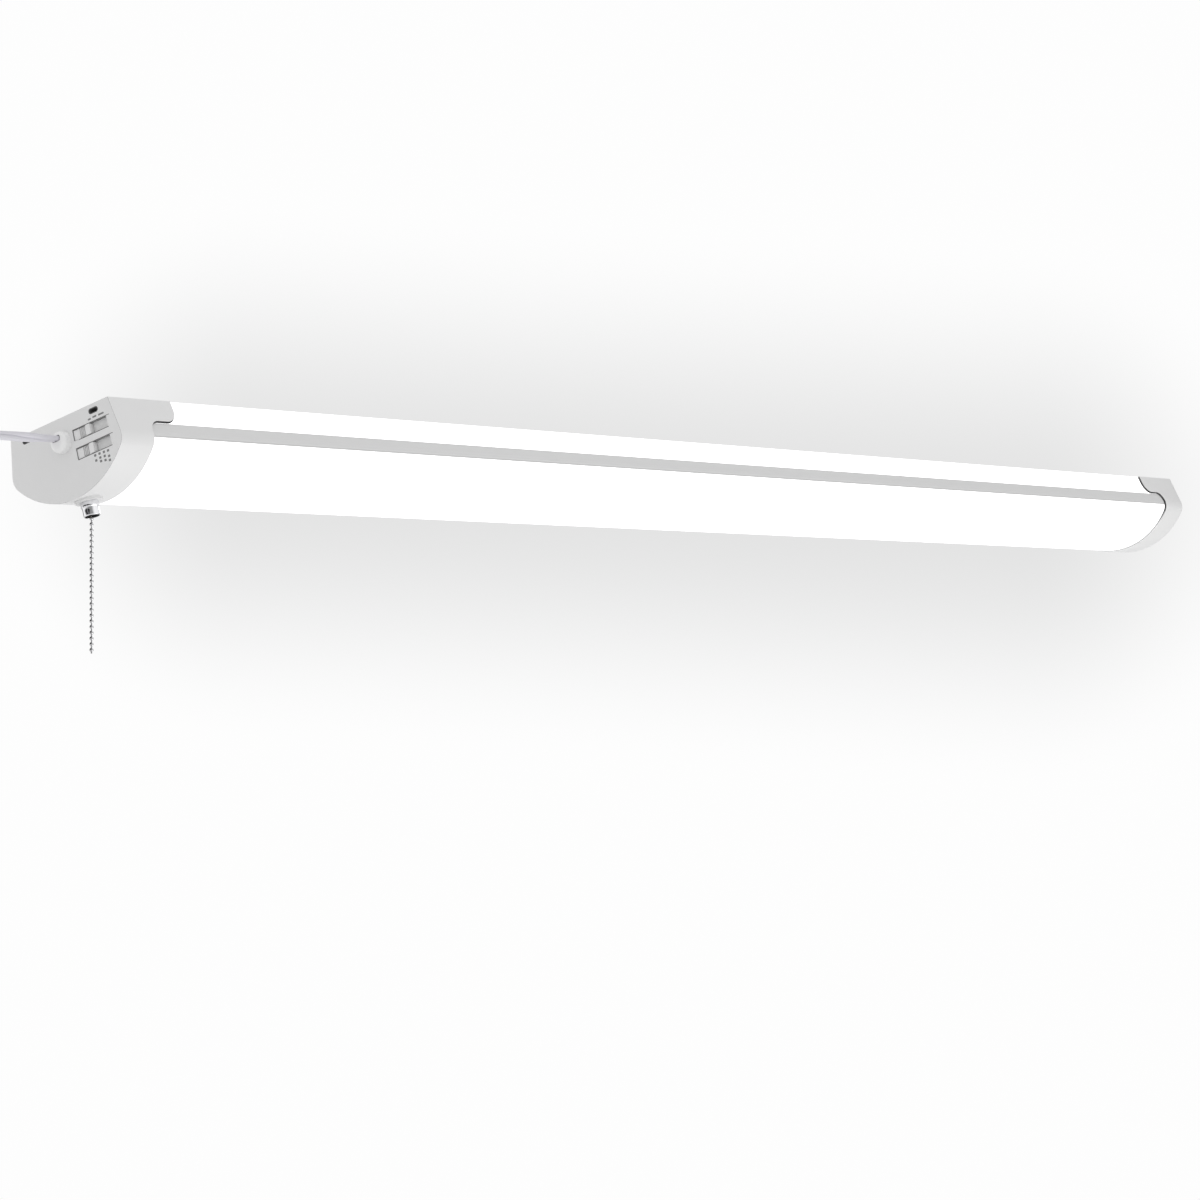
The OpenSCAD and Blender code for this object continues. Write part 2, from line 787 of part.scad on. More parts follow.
module gland_nut() {
    color("white") at_near_end() translate([cap_wall, 0, -gland_drop]) rotate([0, 90, 0]) difference() {
        cylinder(h = gland_nut_t, r = gland_neck_r + 1.4, $fn = round_fn);
        translate([0, 0, -1]) cylinder(h = gland_nut_t + 2, r = gland_neck_r + screw_gap, $fn = round_fn);
    }
}

// ---- pull switch -----------------------------------------------------------

module at_pull() {
    translate([end_x + pull_x, 0, 0]) children();
}

// Snap-action pull switch: a moulded body with a cavity for the plunger's head
module pull_switch_body() {
    color("#3a332e") at_pull() difference() {
        union() {
            translate([-switch_len / 2, -switch_w / 2, switch_z])
                cube([switch_len, switch_w, switch_h]);
            for (side = [-1, 1]) translate([0, side * switch_w / 4, switch_z + switch_h])
                translate([-2, -1.5, -eps]) cube([4, 3, 3]);
        }
        translate([0, 0, switch_z - 1]) cylinder(h = switch_h - 2, r = neck_bore_r + 1.2, $fn = round_fn);
    }
}

// Threaded brass neck of the pull switch
module switch_neck() {
    color(brass_gold) at_pull() difference() {
        translate([0, 0, pivot_z + 1.6]) cylinder(h = switch_z - pivot_z - 1.6, r = neck_r, $fn = round_fn);
        translate([0, 0, pivot_z]) cylinder(h = switch_z - pivot_z + 1, r = neck_bore_r, $fn = round_fn);
    }
}

module neck_washer() {
    color(steel_grey) at_pull() difference() {
        translate([0, 0, pad_z]) cylinder(h = washer_t, r = neck_r + 2.1, $fn = round_fn);
        translate([0, 0, pad_z - 1]) cylinder(h = washer_t + 2, r = neck_r + screw_gap, $fn = round_fn);
    }
}

// Chrome nozzle screwed onto the neck from below
module pull_nozzle() {
    seat = boss_z - flange_t;
    inner_z = pivot_z + 1.4;
    color(chrome_grey) at_pull() difference() {
        union() {
            translate([0, 0, seat]) cylinder(h = flange_t, r = flange_r, $fn = arc_fn);
            translate([0, 0, nozzle_z])
                cylinder(h = seat - nozzle_z + eps, r1 = mouth_r, r2 = barrel_r, $fn = arc_fn);
        }
        translate([0, 0, inner_z])
            cylinder(h = boss_z - inner_z + 1, r = neck_r + screw_gap, $fn = round_fn);
        translate([0, 0, nozzle_z - 1])
            cylinder(h = inner_z - nozzle_z + 2, r = mouth_bore_r, $fn = round_fn);
    }
}

// Plunger that the chain pulls down, with the captive bead at its lower end
module pull_plunger() {
    head_z = switch_z + plunger_travel + 0.6;
    color(brass_gold) at_pull() {
        translate([0, 0, pivot_z + 2.2]) cylinder(h = head_z - pivot_z - 2.2, r = plunger_r, $fn = round_fn);
        translate([0, 0, head_z - eps]) cylinder(h = 1.6, r = neck_bore_r + 0.7, $fn = round_fn);
        translate([0, 0, pivot_z]) cylinder(h = 2.4, r = link_d / 2, $fn = 24);
        translate([0, 0, pivot_z]) sphere(bead_r, $fn = 24);
    }
}

// ---- bead chain ------------------------------------------------------------

// The chain's own line, from the middle of the captive bead downwards
module on_chain() {
    at_pull() translate([0, 0, pivot_z]) rotate([lean_across, lean_along, 0]) children();
}

// Link wires and beads first..last, counted down from the captive bead
module beads(first, last) {
    for (i = [first:last]) translate([0, 0, -i * bead_pitch]) sphere(bead_r, $fn = 24);
    translate([0, 0, -last * bead_pitch])
        cylinder(h = (last - first + 1) * bead_pitch - bead_r - 0.08, r = link_d / 2, $fn = 24);
}

module chain_link() {
    color(steel_grey) on_chain() beads(1, 1);
}

module chain_upper() {
    color(steel_grey) on_chain() beads(2, upper_beads);
}

module chain_lower() {
    last = upper_beads + lower_beads;
    color(steel_grey) on_chain() {
        beads(upper_beads + 1, last);
        translate([0, 0, -last * bead_pitch - bead_r - 0.9]) cylinder(h = 1.2, r = link_d / 2, $fn = 24);
    }
}

// ---- LED boards ------------------------------------------------------------

board_len = body_half - board_end - board_gap / 2;

module lower_board(end, side) {
    x0 = end < 0 ? -board_gap / 2 - board_len : board_gap / 2;
    color(board_white) translate([x0, side * board_y - board_w / 2, lower_z - board_t])
        cube([board_len, board_w, board_t]);
}

module front_near_board() {
    lower_board(-1, -1);
}

module front_far_board() {
    lower_board(1, -1);
}

module back_near_board() {
    lower_board(-1, 1);
}

module back_far_board() {
    lower_board(1, 1);
}

module lower_leds() {
    pitch = board_len / leds_n;
    color("khaki") for (end = [-1, 1], side = [-1, 1], i = [0:leds_n - 1])
        translate([
            end * (board_gap / 2 + (i + 0.5) * pitch) - led_len / 2,
            side * board_y - led_w / 2,
            lower_z - board_t - led_h
        ]) cube([led_len, led_w, led_h]);
}

// Two-pin connectors that carry the supply from the near boards to the far boards
module board_jumpers() {
    color("white") for (side = [-1, 1])
        translate([-board_gap / 2 - 6, side * board_y - 3 + 6, lower_z - board_t - 2.2])
            cube([board_gap + 12, 3, 2.2]);
}

module side_board() {
    color(board_white) translate([
        -body_half + board_end, -channel_y - channel_t - side_board_t, side_board_z - side_board_w / 2
    ]) cube([2 * (body_half - board_end), side_board_t, side_board_w]);
}

module front_side_board() {
    side_board();
}

module back_side_board() {
    mirror([0, 1, 0]) side_board();
}

module side_leds() {
    run = 2 * (body_half - board_end);
    pitch = run / side_leds_n;
    color("khaki") front_and_back() for (i = [0:side_leds_n - 1])
        translate([
            -run / 2 + (i + 0.5) * pitch - led_len / 2,
            -channel_y - channel_t - side_board_t - led_h,
            side_board_z - led_w / 2
        ]) cube([led_len, led_h, led_w]);
}

// ---- driver ----------------------------------------------------------------

module at_driver() {
    translate([driver_near, 0, -web_drop]) children();
}

module at_driver_screws() {
    for (x = [-driver_ear / 2, driver_len + driver_ear / 2]) translate([x, 0, driver_t]) children();
}

// Folded steel tray with a mounting ear at each end
module driver_case() {
    color(steel_grey) at_driver() difference() {
        union() {
            translate([0, -driver_w / 2, 0]) cube([driver_len, driver_w, driver_h - driver_t]);
            translate([-driver_ear, -driver_ear_w / 2, 0])
                cube([driver_len + 2 * driver_ear, driver_ear_w, driver_t]);
        }
        translate([driver_t, -driver_w / 2 + driver_t, driver_t])
            cube([driver_len - 2 * driver_t, driver_w - 2 * driver_t, driver_h]);
        for (x = [-1, driver_len - 2]) translate([x, 0, driver_h / 2]) rotate([0, 90, 0])
            cylinder(h = 3, r = 3, $fn = 32);
        at_driver_screws() translate([0, 0, -2]) cylinder(h = 4, r = screw_r + screw_gap, $fn = 32);
    }
}

module driver_cover() {
    color(steel_grey) at_driver() difference() {
        translate([0, -driver_w / 2, driver_h - driver_t]) cube([driver_len, driver_w, driver_t]);
        for (i = [0:9])
            translate([driver_len / 2 + (i - 4.5) * vent_pitch, -vent_len / 2, driver_h - driver_t - 1])
                cube([vent_w, vent_len, driver_t + 2]);
    }
}

module driver_board() {
    color("seagreen") at_driver() {
        translate([board_margin, board_margin / 2 - driver_w / 2, driver_t + spacer_h])
            cube([driver_len - 2 * board_margin, driver_w - board_margin, driver_board_t]);
        for (x = [2 * board_margin, driver_len - 2 * board_margin], y = [-1, 1])
            translate([x, y * (driver_w / 2 - 1.5 * board_margin), driver_t])
                cylinder(h = spacer_h, r = board_margin / 2, $fn = 24);
    }
}

// Transformer, capacitors, filter choke and heat-sink bar on the driver's board
module driver_parts() {
    top = driver_t + spacer_h + driver_board_t;
    room = driver_h - driver_t - top - 0.6;
    core_x = driver_len / 2;
    sink_x = core_x + core_len + part_gap;
    choke_x = core_x - 2 * (capacitor_len + 2) - 1.5 * part_gap - choke_r;
    color("dimgray") at_driver() {
        translate([core_x, -core_w / 2, top]) cube([core_len, core_w, room]);
        for (i = [1, 2]) translate([core_x - part_gap - i * (capacitor_len + 2), 0, top + room / 2])
            rotate([0, 90, 0]) cylinder(h = capacitor_len, r = room / 2, $fn = round_fn);
        translate([choke_x, 0, top]) rotate_extrude($fn = round_fn)
            translate([choke_r / 2, 0]) square([choke_r / 2, room - 1]);
        translate([sink_x, -core_w, top]) cube([sink_len, sink_t, room]);
        for (y = [-1, 1]) translate([sink_x + sink_len + part_gap / 2, y * core_w * 0.4, top])
            cylinder(h = room, r = room * 0.4, $fn = round_fn);
        for (x = [0, 5]) translate([choke_x - choke_r - 4 - x, 6, top]) cube([3, 8, room - 2]);
    }
}

module driver_screws() {
    color(steel_grey) at_driver() at_driver_screws() {
        translate([0, 0, -driver_t]) cylinder(h = driver_t + eps, r = screw_r, $fn = 32);
        cylinder(h = pan_h, r = screw_head_r, $fn = 32);
    }
}

module terminal_block() {
    color("white") translate([block_x, 0, -web_drop]) difference() {
        translate([0, -block_w / 2, 0]) cube([block_len, block_w, block_h]);
        for (y = [-7, 0, 7]) translate([-1, y, block_h / 2 + 0.5]) rotate([0, 90, 0])
            cylinder(h = block_len / 2 - 1, r = 1.6, $fn = 24);
    }
}

// ---- swept wires and cord --------------------------------------------------

function unit(v) = v / norm(v);

function tangent_at(path, i) =
    unit(path[min(i + 1, len(path) - 1)] - path[max(i - 1, 0)]);

// Point of a smooth curve through the path, t counted in its points
function smooth_at(path, t) =
    let (
        i = min(floor(t), len(path) - 2),
        u = t - i,
        a = path[max(i - 1, 0)],
        b = path[i],
        c = path[i + 1],
        d = path[min(i + 2, len(path) - 1)]
    )
    0.5 * (2 * b + (c - a) * u + (2 * a - 5 * b + 4 * c - d) * u * u + (3 * b - a - 3 * c + d) * u * u * u);

function smooth(path, steps) =
    [for (i = [0:(len(path) - 1) * steps]) smooth_at(path, i / steps)];

function path_length(path, i = 1) =
    i >= len(path) ? 0 : norm(path[i] - path[i - 1]) + path_length(path, i + 1);

// Outlines of a wire and of the flat twin cord, as [across, through] points
function round_outline(r, n) = [for (k = [0:n - 1]) r * [cos(360 * k / n), sin(360 * k / n)]];

function twin_outline() =
    let (r = cord_t / 2, lobe = cord_w / 2 - r)
    concat(
        [[0, -r * 0.62]],
        [for (k = [-2:2]) [lobe + r * cos(60 * k), r * sin(60 * k)]],
        [[0, r * 0.62]],
        [for (k = [-2:2]) [-lobe - r * cos(60 * k), -r * sin(60 * k)]]
    );

function flat_outline() =
    let (w = cord_w / 2, r = cord_t / 2)
    [[w, 0], [w - r, r], [r - w, r], [-w, 0], [r - w, -r], [w - r, -r]];

// Sweeps an outline along a path; widths gives the outline's wide direction at each point
module sweep(path, widths, outline) {
    n = len(outline);
    last = len(path) - 1;
    rings = [
        for (i = [0:last])
            let (
                t = tangent_at(path, i),
                w = unit(widths[i] - (widths[i] * t) * t),
                through = cross(t, w)
            )
            for (p = outline) path[i] + p.x * w + p.y * through
    ];
    polyhedron(
        points = rings,
        faces = concat(
            [[for (k = [0:n - 1]) k]],
            [
                for (i = [0:last - 1], k = [0:n - 1])
                    let (next = (k + 1) % n, a = i * n, b = a + n)
                    each [[a + k, b + next, a + next], [a + k, b + k, b + next]]
            ],
            [[for (k = [n:-1:1]) last * n + k % n]]
        )
    );
}

module wire(points, r) {
    path = smooth(points, 3);
    sweep(path, [for (p = path) [0.13, 0.31, 0.94]], round_outline(r, 8));
}

cord_inner_x = end_x + gland_tail + 2;
driver_mouth_z = -web_drop + driver_h / 2;

// Wires from the cord to the pull switch and the driver
module mains_wires() {
    block_z = -web_drop + block_h / 2 + 0.5;
    terminal_z = switch_z + switch_h + 3;
    color("dimgray") {
        wire([
            [cord_inner_x, 1.3, cord_z], [cord_inner_x + 6, 2.3, cord_z + 0.4], [end_x + 36, 7, -11],
            [end_x + 80, 7, -12], [block_x - 12, 7, block_z], [block_x - 1, 7, block_z]
        ], 0.8);
        wire([
            [cord_inner_x, -1.3, cord_z], [cord_inner_x + 1, -1.8, cord_z - 2.6], [end_x + 15.5, -3, -18],
            [end_x + 13, -switch_w / 4, -19.4], [end_x + pull_x, -switch_w / 4, terminal_z + 2.6],
            [end_x + pull_x, -switch_w / 4, terminal_z + 1.3], [end_x + pull_x, -switch_w / 4, terminal_z]
        ], 0.8);
        wire([
            [end_x + pull_x, switch_w / 4, terminal_z], [end_x + pull_x, switch_w / 4, terminal_z + 1.3],
            [end_x + pull_x, switch_w / 4, terminal_z + 2.6], [end_x + 13, switch_w / 4, -19.4],
            [end_x + 17, 4, -17], [end_x + 30, 0, -15],
            [end_x + 80, 0, -14], [block_x - 12, 0, block_z], [block_x - 1, 0, block_z]
        ], 0.8);
    }
}

// Leads from the driver's far end through the web to the LED boards
module led_wires() {
    x0 = driver_near + driver_len + 0.5;
    hole_x = driver_near + driver_len + 40;
    color("firebrick") for (y = [-1.2, 1.2]) wire([
        [x0, y, driver_mouth_z], [x0 + 14, y, driver_mouth_z + 1], [hole_x - 12, y, -14],
        [hole_x - 3, y, -15.5], [hole_x, y, -18.5], [hole_x, y, lower_z - 0.5]
    ], 0.7);
}

// The cord leaves the gland level, bends down past the view's edge and hangs into the coil
cord_route = [
    [end_x + gland_tail, 0, cord_z],
    [end_x, 0, cord_z],
    [-622, 0, cord_z],
    [-635, 0, cord_z],
    [-648, 0, cord_z],
    [-661, 0, cord_z],
    [-675, 0, -13],
    [-689, 0, -17],
    [-703, -0.5, -24],
    [-716, -1, -34],
    [-728, -1.5, -47],
    [-737, -2, -62],
    [-744, -2.5, -79],
    [-748.5, -3, -95],
    [coil_gate, layer_y[0], gate_z + 18],
    [coil_gate, layer_y[0], gate_z + 9],
    [coil_gate, layer_y[0], gate_z]
];

function ease(t) = let (u = min(1, max(0, t))) u * u * (3 - 2 * u);

// The cord twists once round on its way: flat in the gland, on edge outside and flat again for the coil
function cord_width_at(x) =
    let (turn = edge_turn * ease((-616 - x) / 40) + (180 - edge_turn) * ease((-664 - x) / 40))
    [0, cos(turn), -sin(turn)];

module mains_cord() {
    path = smooth(cord_route, 2);
    color(cord_grey) sweep(path, [for (p = path) cord_width_at(p.x)], twin_outline());
}

// Coil: spirals in on the front layer, climbs where it reverses and spirals out on the back layer
function coil_layer(t) = layer_y[0] + layer_step * ease((t - coil_loops / 2 + 0.25) / 0.5);

// Radius at turn t; the innermost turn is drawn in further where it climbs, to clear its neighbours
function coil_radius(t) =
    let (out = abs(t - coil_loops / 2))
    coil_r - coil_step * (coil_loops / 2 - out) - climb_dip * ease((0.75 - out) / 0.5);

function coil_point(t) =
    [coil_x + coil_radius(t) * cos(360 * t), coil_layer(t), coil_z - coil_radius(t) * sin(360 * t)];

coil_rings = 24;
coil_turns = [for (i = [0:coil_loops * coil_rings]) coil_point(i / coil_rings)];
coil_path = concat(
    [[coil_gate, layer_y[0], gate_z]], coil_turns, [[coil_gate, layer_y[1], tail_z]]
);

module cord_coil() {
    color(cord_grey) sweep(coil_path, [for (p = coil_path) [0, 1, 0]], flat_outline());
}

// Least distance between turns, less the cord itself: across the layers and along the radius
layer_gap = min([
    for (i = [0:len(coil_turns) - 1], j = [i + coil_rings / 2:1:len(coil_turns) - 1])
        let (a = coil_turns[i], b = coil_turns[j])
        max(
            abs(a.y - b.y) - cord_w,
            norm([a.x - b.x, a.z - b.z]) - cord_t / cos(180 / coil_rings)
        )
]);
lead_len = path_length(smooth(cord_route, 2));
wound_len = path_length(coil_path);
echo(coil_gap = layer_gap, lead = lead_len, coil = wound_len, total = lead_len + wound_len + tail_len);

module twin_section() {
    lobe = (cord_w - cord_t) / 2;
    for (side = [-1, 1]) translate([0, side * lobe]) circle(cord_t / 2, $fn = 32);
    square([cord_t * 0.62, 2 * lobe], center = true);
}

module cord_tail() {
    color(cord_grey) translate([coil_gate, layer_y[1], tail_z - tail_len])
        linear_extrude(tail_len) twin_section();
}

// Strap round all the turns at the top of the coil
module cord_tie() {
    top_r = coil_radius(coil_loops - 0.25);
    low_r = coil_radius(coil_loops / 2 - 0.25);
    inner_h = top_r - low_r + cord_t + 2 * tie_slack;
    inner_w = layer_step + cord_w + 2 * tie_slack;
    tie_z = coil_z + (top_r + low_r) / 2;
    color(rubber_black) translate([coil_x, 0, tie_z]) along(-tie_w / 2, tie_w / 2) difference() {
        rounded(inner_w + 2 * tie_t, inner_h + 2 * tie_t, 2);
        rounded(inner_w, inner_h, 1);
    }
}

// ---- plug ------------------------------------------------------------------

module at_plug() {
    translate([coil_gate, layer_y[1], tail_z - tail_len]) children();
}

// Moulded two-blade plug hanging from the cord, with a tapered ribbed neck
module plug_body() {
    rib_n = 5;
    color(cord_grey) at_plug() {
        translate([0, 0, -plug_neck]) cylinder(h = plug_neck, r1 = 5, r2 = 3.6, $fn = round_fn);
        for (i = [0:rib_n - 1]) translate([0, 0, -plug_neck + 2 + i * (plug_neck - 4) / rib_n])
            cylinder(h = 1.6, r = 5.6 - i * 0.3, $fn = round_fn);
        hull() {
            translate([0, 0, -plug_neck - 2]) linear_extrude(2) rounded(plug_t * 0.8, plug_w * 0.55, 3);
            translate([0, 0, -plug_neck - plug_len])
                linear_extrude(plug_len * 0.55) rounded(plug_t, plug_w, 3);
        }
    }
}

module plug_blades() {
    top = -plug_neck - plug_len;
    widths = [blade_w, wide_blade_w];
    color(brass_gold) at_plug() for (i = [0, 1]) translate([0, (i - 0.5) * blade_pitch, 0]) difference() {
        translate([-widths[i] / 2, -blade_t / 2, top - blade_len]) cube([widths[i], blade_t, blade_len]);
        translate([0, blade_t, top - blade_len + 4]) rotate([90, 0, 0])
            cylinder(h = 2 * blade_t, r = 1.6, $fn = 32);
    }
}

spine();
top_plate();
lower_diffuser();
front_side_lens();
back_side_lens();
switch_end_cap();
plain_end_cap();
hook_sockets();
cap_screws();
plate_screws();
power_knob();
colour_knob();
power_switch();
colour_switch();
switch_board();
switch_board_screws();
cord_gland();
gland_nut();
pull_switch_body();
switch_neck();
neck_washer();
pull_nozzle();
pull_plunger();
chain_link();
chain_upper();
chain_lower();
front_near_board();
front_far_board();
back_near_board();
back_far_board();
lower_leds();
front_side_board();
back_side_board();
side_leds();
board_jumpers();
driver_case();
driver_cover();
driver_board();
driver_parts();
driver_screws();
terminal_block();
mains_wires();
led_wires();
mains_cord();
cord_coil();
cord_tail();
cord_tie();
plug_body();
plug_blades();
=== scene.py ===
import math

import bmesh
import bpy
from mathutils import Matrix, Vector


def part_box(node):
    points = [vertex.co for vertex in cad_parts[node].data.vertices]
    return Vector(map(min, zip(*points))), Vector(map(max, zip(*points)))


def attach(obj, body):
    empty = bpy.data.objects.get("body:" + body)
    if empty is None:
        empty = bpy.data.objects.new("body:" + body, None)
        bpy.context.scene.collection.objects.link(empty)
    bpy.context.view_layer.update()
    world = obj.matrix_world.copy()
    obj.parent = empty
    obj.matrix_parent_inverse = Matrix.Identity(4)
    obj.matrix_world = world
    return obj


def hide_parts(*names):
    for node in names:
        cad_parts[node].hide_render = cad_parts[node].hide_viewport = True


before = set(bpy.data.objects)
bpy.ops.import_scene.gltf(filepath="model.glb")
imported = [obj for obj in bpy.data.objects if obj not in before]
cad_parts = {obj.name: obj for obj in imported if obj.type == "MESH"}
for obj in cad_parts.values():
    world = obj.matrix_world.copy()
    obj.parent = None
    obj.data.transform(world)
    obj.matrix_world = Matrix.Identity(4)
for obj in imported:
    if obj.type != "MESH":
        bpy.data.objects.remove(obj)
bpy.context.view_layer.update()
scene = bpy.context.scene
scene.view_settings.view_transform = "Standard"
print("frame loaded,", len(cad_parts), "nodes")

mm = 0.001

# camera: below the light and off its switch end, tipped over a little
camera = {
    "place": (-2.15482, -1.46430, -0.56841),
    "azimuth": -53.985,
    "elevation": -10.634,
    "roll": -13.029,
    "lens": 115.416,
    "sensor": 36,
    "clip": (0.05, 60),
}


def backDirection(azimuth, elevation):
    a, e = math.radians(azimuth), math.radians(elevation)
    return Vector((math.sin(a) * math.cos(e), -math.cos(a) * math.cos(e), math.sin(e)))


def makeCamera():
    data = bpy.data.cameras.new("camera")
    data.lens = camera["lens"]
    data.sensor_width = camera["sensor"]
    data.clip_start, data.clip_end = camera["clip"]
    eye = bpy.data.objects.new("camera", data)
    scene.collection.objects.link(eye)
    back = backDirection(camera["azimuth"], camera["elevation"])
    turn = back.to_track_quat("Z", "Y").to_matrix().to_4x4()
    roll = Matrix.Rotation(math.radians(camera["roll"]), 4, "Z")
    eye.matrix_world = Matrix.Translation(camera["place"]) @ turn @ roll
    scene.camera = eye


makeCamera()
print("camera placed")


# shared helpers
def addPiece(bm, name, body, material, replaced=(), sharpAngle=35):
    for face in bm.faces:
        face.smooth = True
    for edge in bm.edges:
        if len(edge.link_faces) == 2:
            edge.smooth = edge.calc_face_angle(0) < math.radians(sharpAngle)
    mesh = bpy.data.meshes.new(name)
    bm.to_mesh(mesh)
    bm.free()
    piece = bpy.data.objects.new(name, mesh)
    scene.collection.objects.link(piece)
    mesh.materials.append(material)
    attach(piece, body)
    if replaced:
        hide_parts(*replaced)
    return piece


def newMaterial(name, colour, roughness, metallic=0.0):
    material = bpy.data.materials.new(name)
    material.use_nodes = True
    shader = material.node_tree.nodes["Principled BSDF"]
    shader.inputs["Base Color"].default_value = (*colour, 1)
    shader.inputs["Roughness"].default_value = roughness
    shader.inputs["Metallic"].default_value = metallic
    return material, material.node_tree, shader


def addNode(tree, kind, **values):
    node = tree.nodes.new(kind)
    for key, value in values.items():
        setattr(node, key, value)
    return node


def grey(level):
    return (level, level, level)


def spinProfile(outline, steps):
    bm = bmesh.new()
    verts = [bm.verts.new((r, 0, z)) for r, z in outline]
    edges = [bm.edges.new(pair) for pair in zip(verts, verts[1:])]
    bmesh.ops.spin(bm, geom=verts + edges, cent=(0, 0, 0), axis=(0, 0, 1), angle=2 * math.pi, steps=steps,
                   use_merge=True)
    bmesh.ops.remove_doubles(bm, verts=bm.verts, dist=1e-6)
    bmesh.ops.recalc_face_normals(bm, faces=bm.faces)
    return bm


def addCopies(bm, template, matrices):
    mesh = bpy.data.meshes.new("template")
    template.to_mesh(mesh)
    template.free()
    for matrix in matrices:
        first = len(bm.verts)
        bm.from_mesh(mesh)
        bm.verts.ensure_lookup_table()
        bmesh.ops.transform(bm, matrix=matrix, verts=bm.verts[first:])
    bpy.data.meshes.remove(mesh)


# extrudes a loop of edges and gives back the new loop's edges and vertices
def growRing(bm, edges):
    grown = bmesh.ops.extrude_edge_only(bm, edges=edges)["geom"]
    verts = [part for part in grown if isinstance(part, bmesh.types.BMVert)]
    fresh = set(verts)
    ring = [part for part in grown if isinstance(part, bmesh.types.BMEdge) and fresh.issuperset(part.verts)]
    return ring, verts


softening = {
    "flat": 0.6,                 # degrees: faces this close to one plane are joined
    "sharp": 40,                 # degrees: edges sharper than this can be rounded
    "segments": 3,
}


# a merged copy of a CAD node, with the edges that isEdge picks rounded over; both lengths in mm
def softCopy(node, rounding, isEdge=None, merge=0.02):
    flat, sharp = math.radians(softening["flat"]), math.radians(softening["sharp"])
    bm = bmesh.new()
    bm.from_mesh(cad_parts[node].data)
    bmesh.ops.remove_doubles(bm, verts=bm.verts, dist=merge * mm)
    bmesh.ops.dissolve_limit(bm, angle_limit=flat, verts=bm.verts, edges=bm.edges)
    if rounding:
        picked = [edge for edge in bm.edges if len(edge.link_faces) == 2 and edge.calc_face_angle(0) > sharp
                  and (isEdge is None or isEdge(edge))]
        bmesh.ops.bevel(bm, geom=picked, offset=rounding * mm, offset_type="OFFSET", affect="EDGES",
                        segments=softening["segments"], profile=0.5, material=-1, clamp_overlap=True)
    return bm


# grain: a fine moulded or sprayed skin, as a height, a tone round 1 and a roughness round 0
def makeGrainGroup():
    group = bpy.data.node_groups.new("surfaceGrain", "ShaderNodeTree")
    face = group.interface
    inputs = (("Grain Scale", 900.0), ("Cloud Scale", 14.0), ("Tone Spread", 0.03), ("Gloss Spread", 0.06))
    for label, value in inputs:
        face.new_socket(label, in_out="INPUT", socket_type="NodeSocketFloat").default_value = value
    for label in ("Height", "Tone", "Gloss"):
        face.new_socket(label, in_out="OUTPUT", socket_type="NodeSocketFloat")
    start = addNode(group, "NodeGroupInput")
    end = addNode(group, "NodeGroupOutput")
    where = addNode(group, "ShaderNodeTexCoord")
    fine = addNode(group, "ShaderNodeTexNoise")
    fine.inputs["Detail"].default_value = 3
    cloud = addNode(group, "ShaderNodeTexNoise")
    cloud.inputs["Detail"].default_value = 4
    links = group.links
    for texture, label in ((fine, "Grain Scale"), (cloud, "Cloud Scale")):
        links.new(where.outputs["Object"], texture.inputs["Vector"])
        links.new(start.outputs[label], texture.inputs["Scale"])
    links.new(fine.outputs["Fac"], end.inputs["Height"])
    middle = addNode(group, "ShaderNodeMath", operation="SUBTRACT")
    middle.inputs[1].default_value = 0.5
    links.new(cloud.outputs["Fac"], middle.inputs[0])
    for label, output, base in (("Tone Spread", "Tone", 1.0), ("Gloss Spread", "Gloss", 0.0)):
        spread = addNode(group, "ShaderNodeMath", operation="MULTIPLY_ADD")
        spread.inputs[2].default_value = base
        links.new(middle.outputs[0], spread.inputs[0])
        links.new(start.outputs[label], spread.inputs[1])
        links.new(spread.outputs[0], end.inputs[output])
    return group


grainGroup = makeGrainGroup()


def addGrain(tree, shader, colour, roughness, grainScale, depth, toneSpread=0.03, glossSpread=0.06):
    grain = addNode(tree, "ShaderNodeGroup", node_tree=grainGroup)
    grain.inputs["Grain Scale"].default_value = grainScale
    grain.inputs["Tone Spread"].default_value = toneSpread
    grain.inputs["Gloss Spread"].default_value = glossSpread
    bump = addNode(tree, "ShaderNodeBump")
    bump.inputs["Strength"].default_value = 1.0
    bump.inputs["Distance"].default_value = depth
    tree.links.new(grain.outputs["Height"], bump.inputs["Height"])
    tree.links.new(bump.outputs["Normal"], shader.inputs["Normal"])
    tint = addNode(tree, "ShaderNodeVectorMath", operation="SCALE")
    tint.inputs[0].default_value = colour
    tree.links.new(grain.outputs["Tone"], tint.inputs["Scale"])
    tree.links.new(tint.outputs["Vector"], shader.inputs["Base Color"])
    gloss = addNode(tree, "ShaderNodeMath", operation="ADD")
    gloss.inputs[1].default_value = roughness
    tree.links.new(grain.outputs["Gloss"], gloss.inputs[0])
    tree.links.new(gloss.outputs[0], shader.inputs["Roughness"])


def grainedMaterial(name, colour, roughness, grainScale, depth, metallic=0.0, **spread):
    material, tree, shader = newMaterial(name, colour, roughness, metallic)
    addGrain(tree, shader, colour, roughness, grainScale, depth, **spread)
    return material, tree, shader


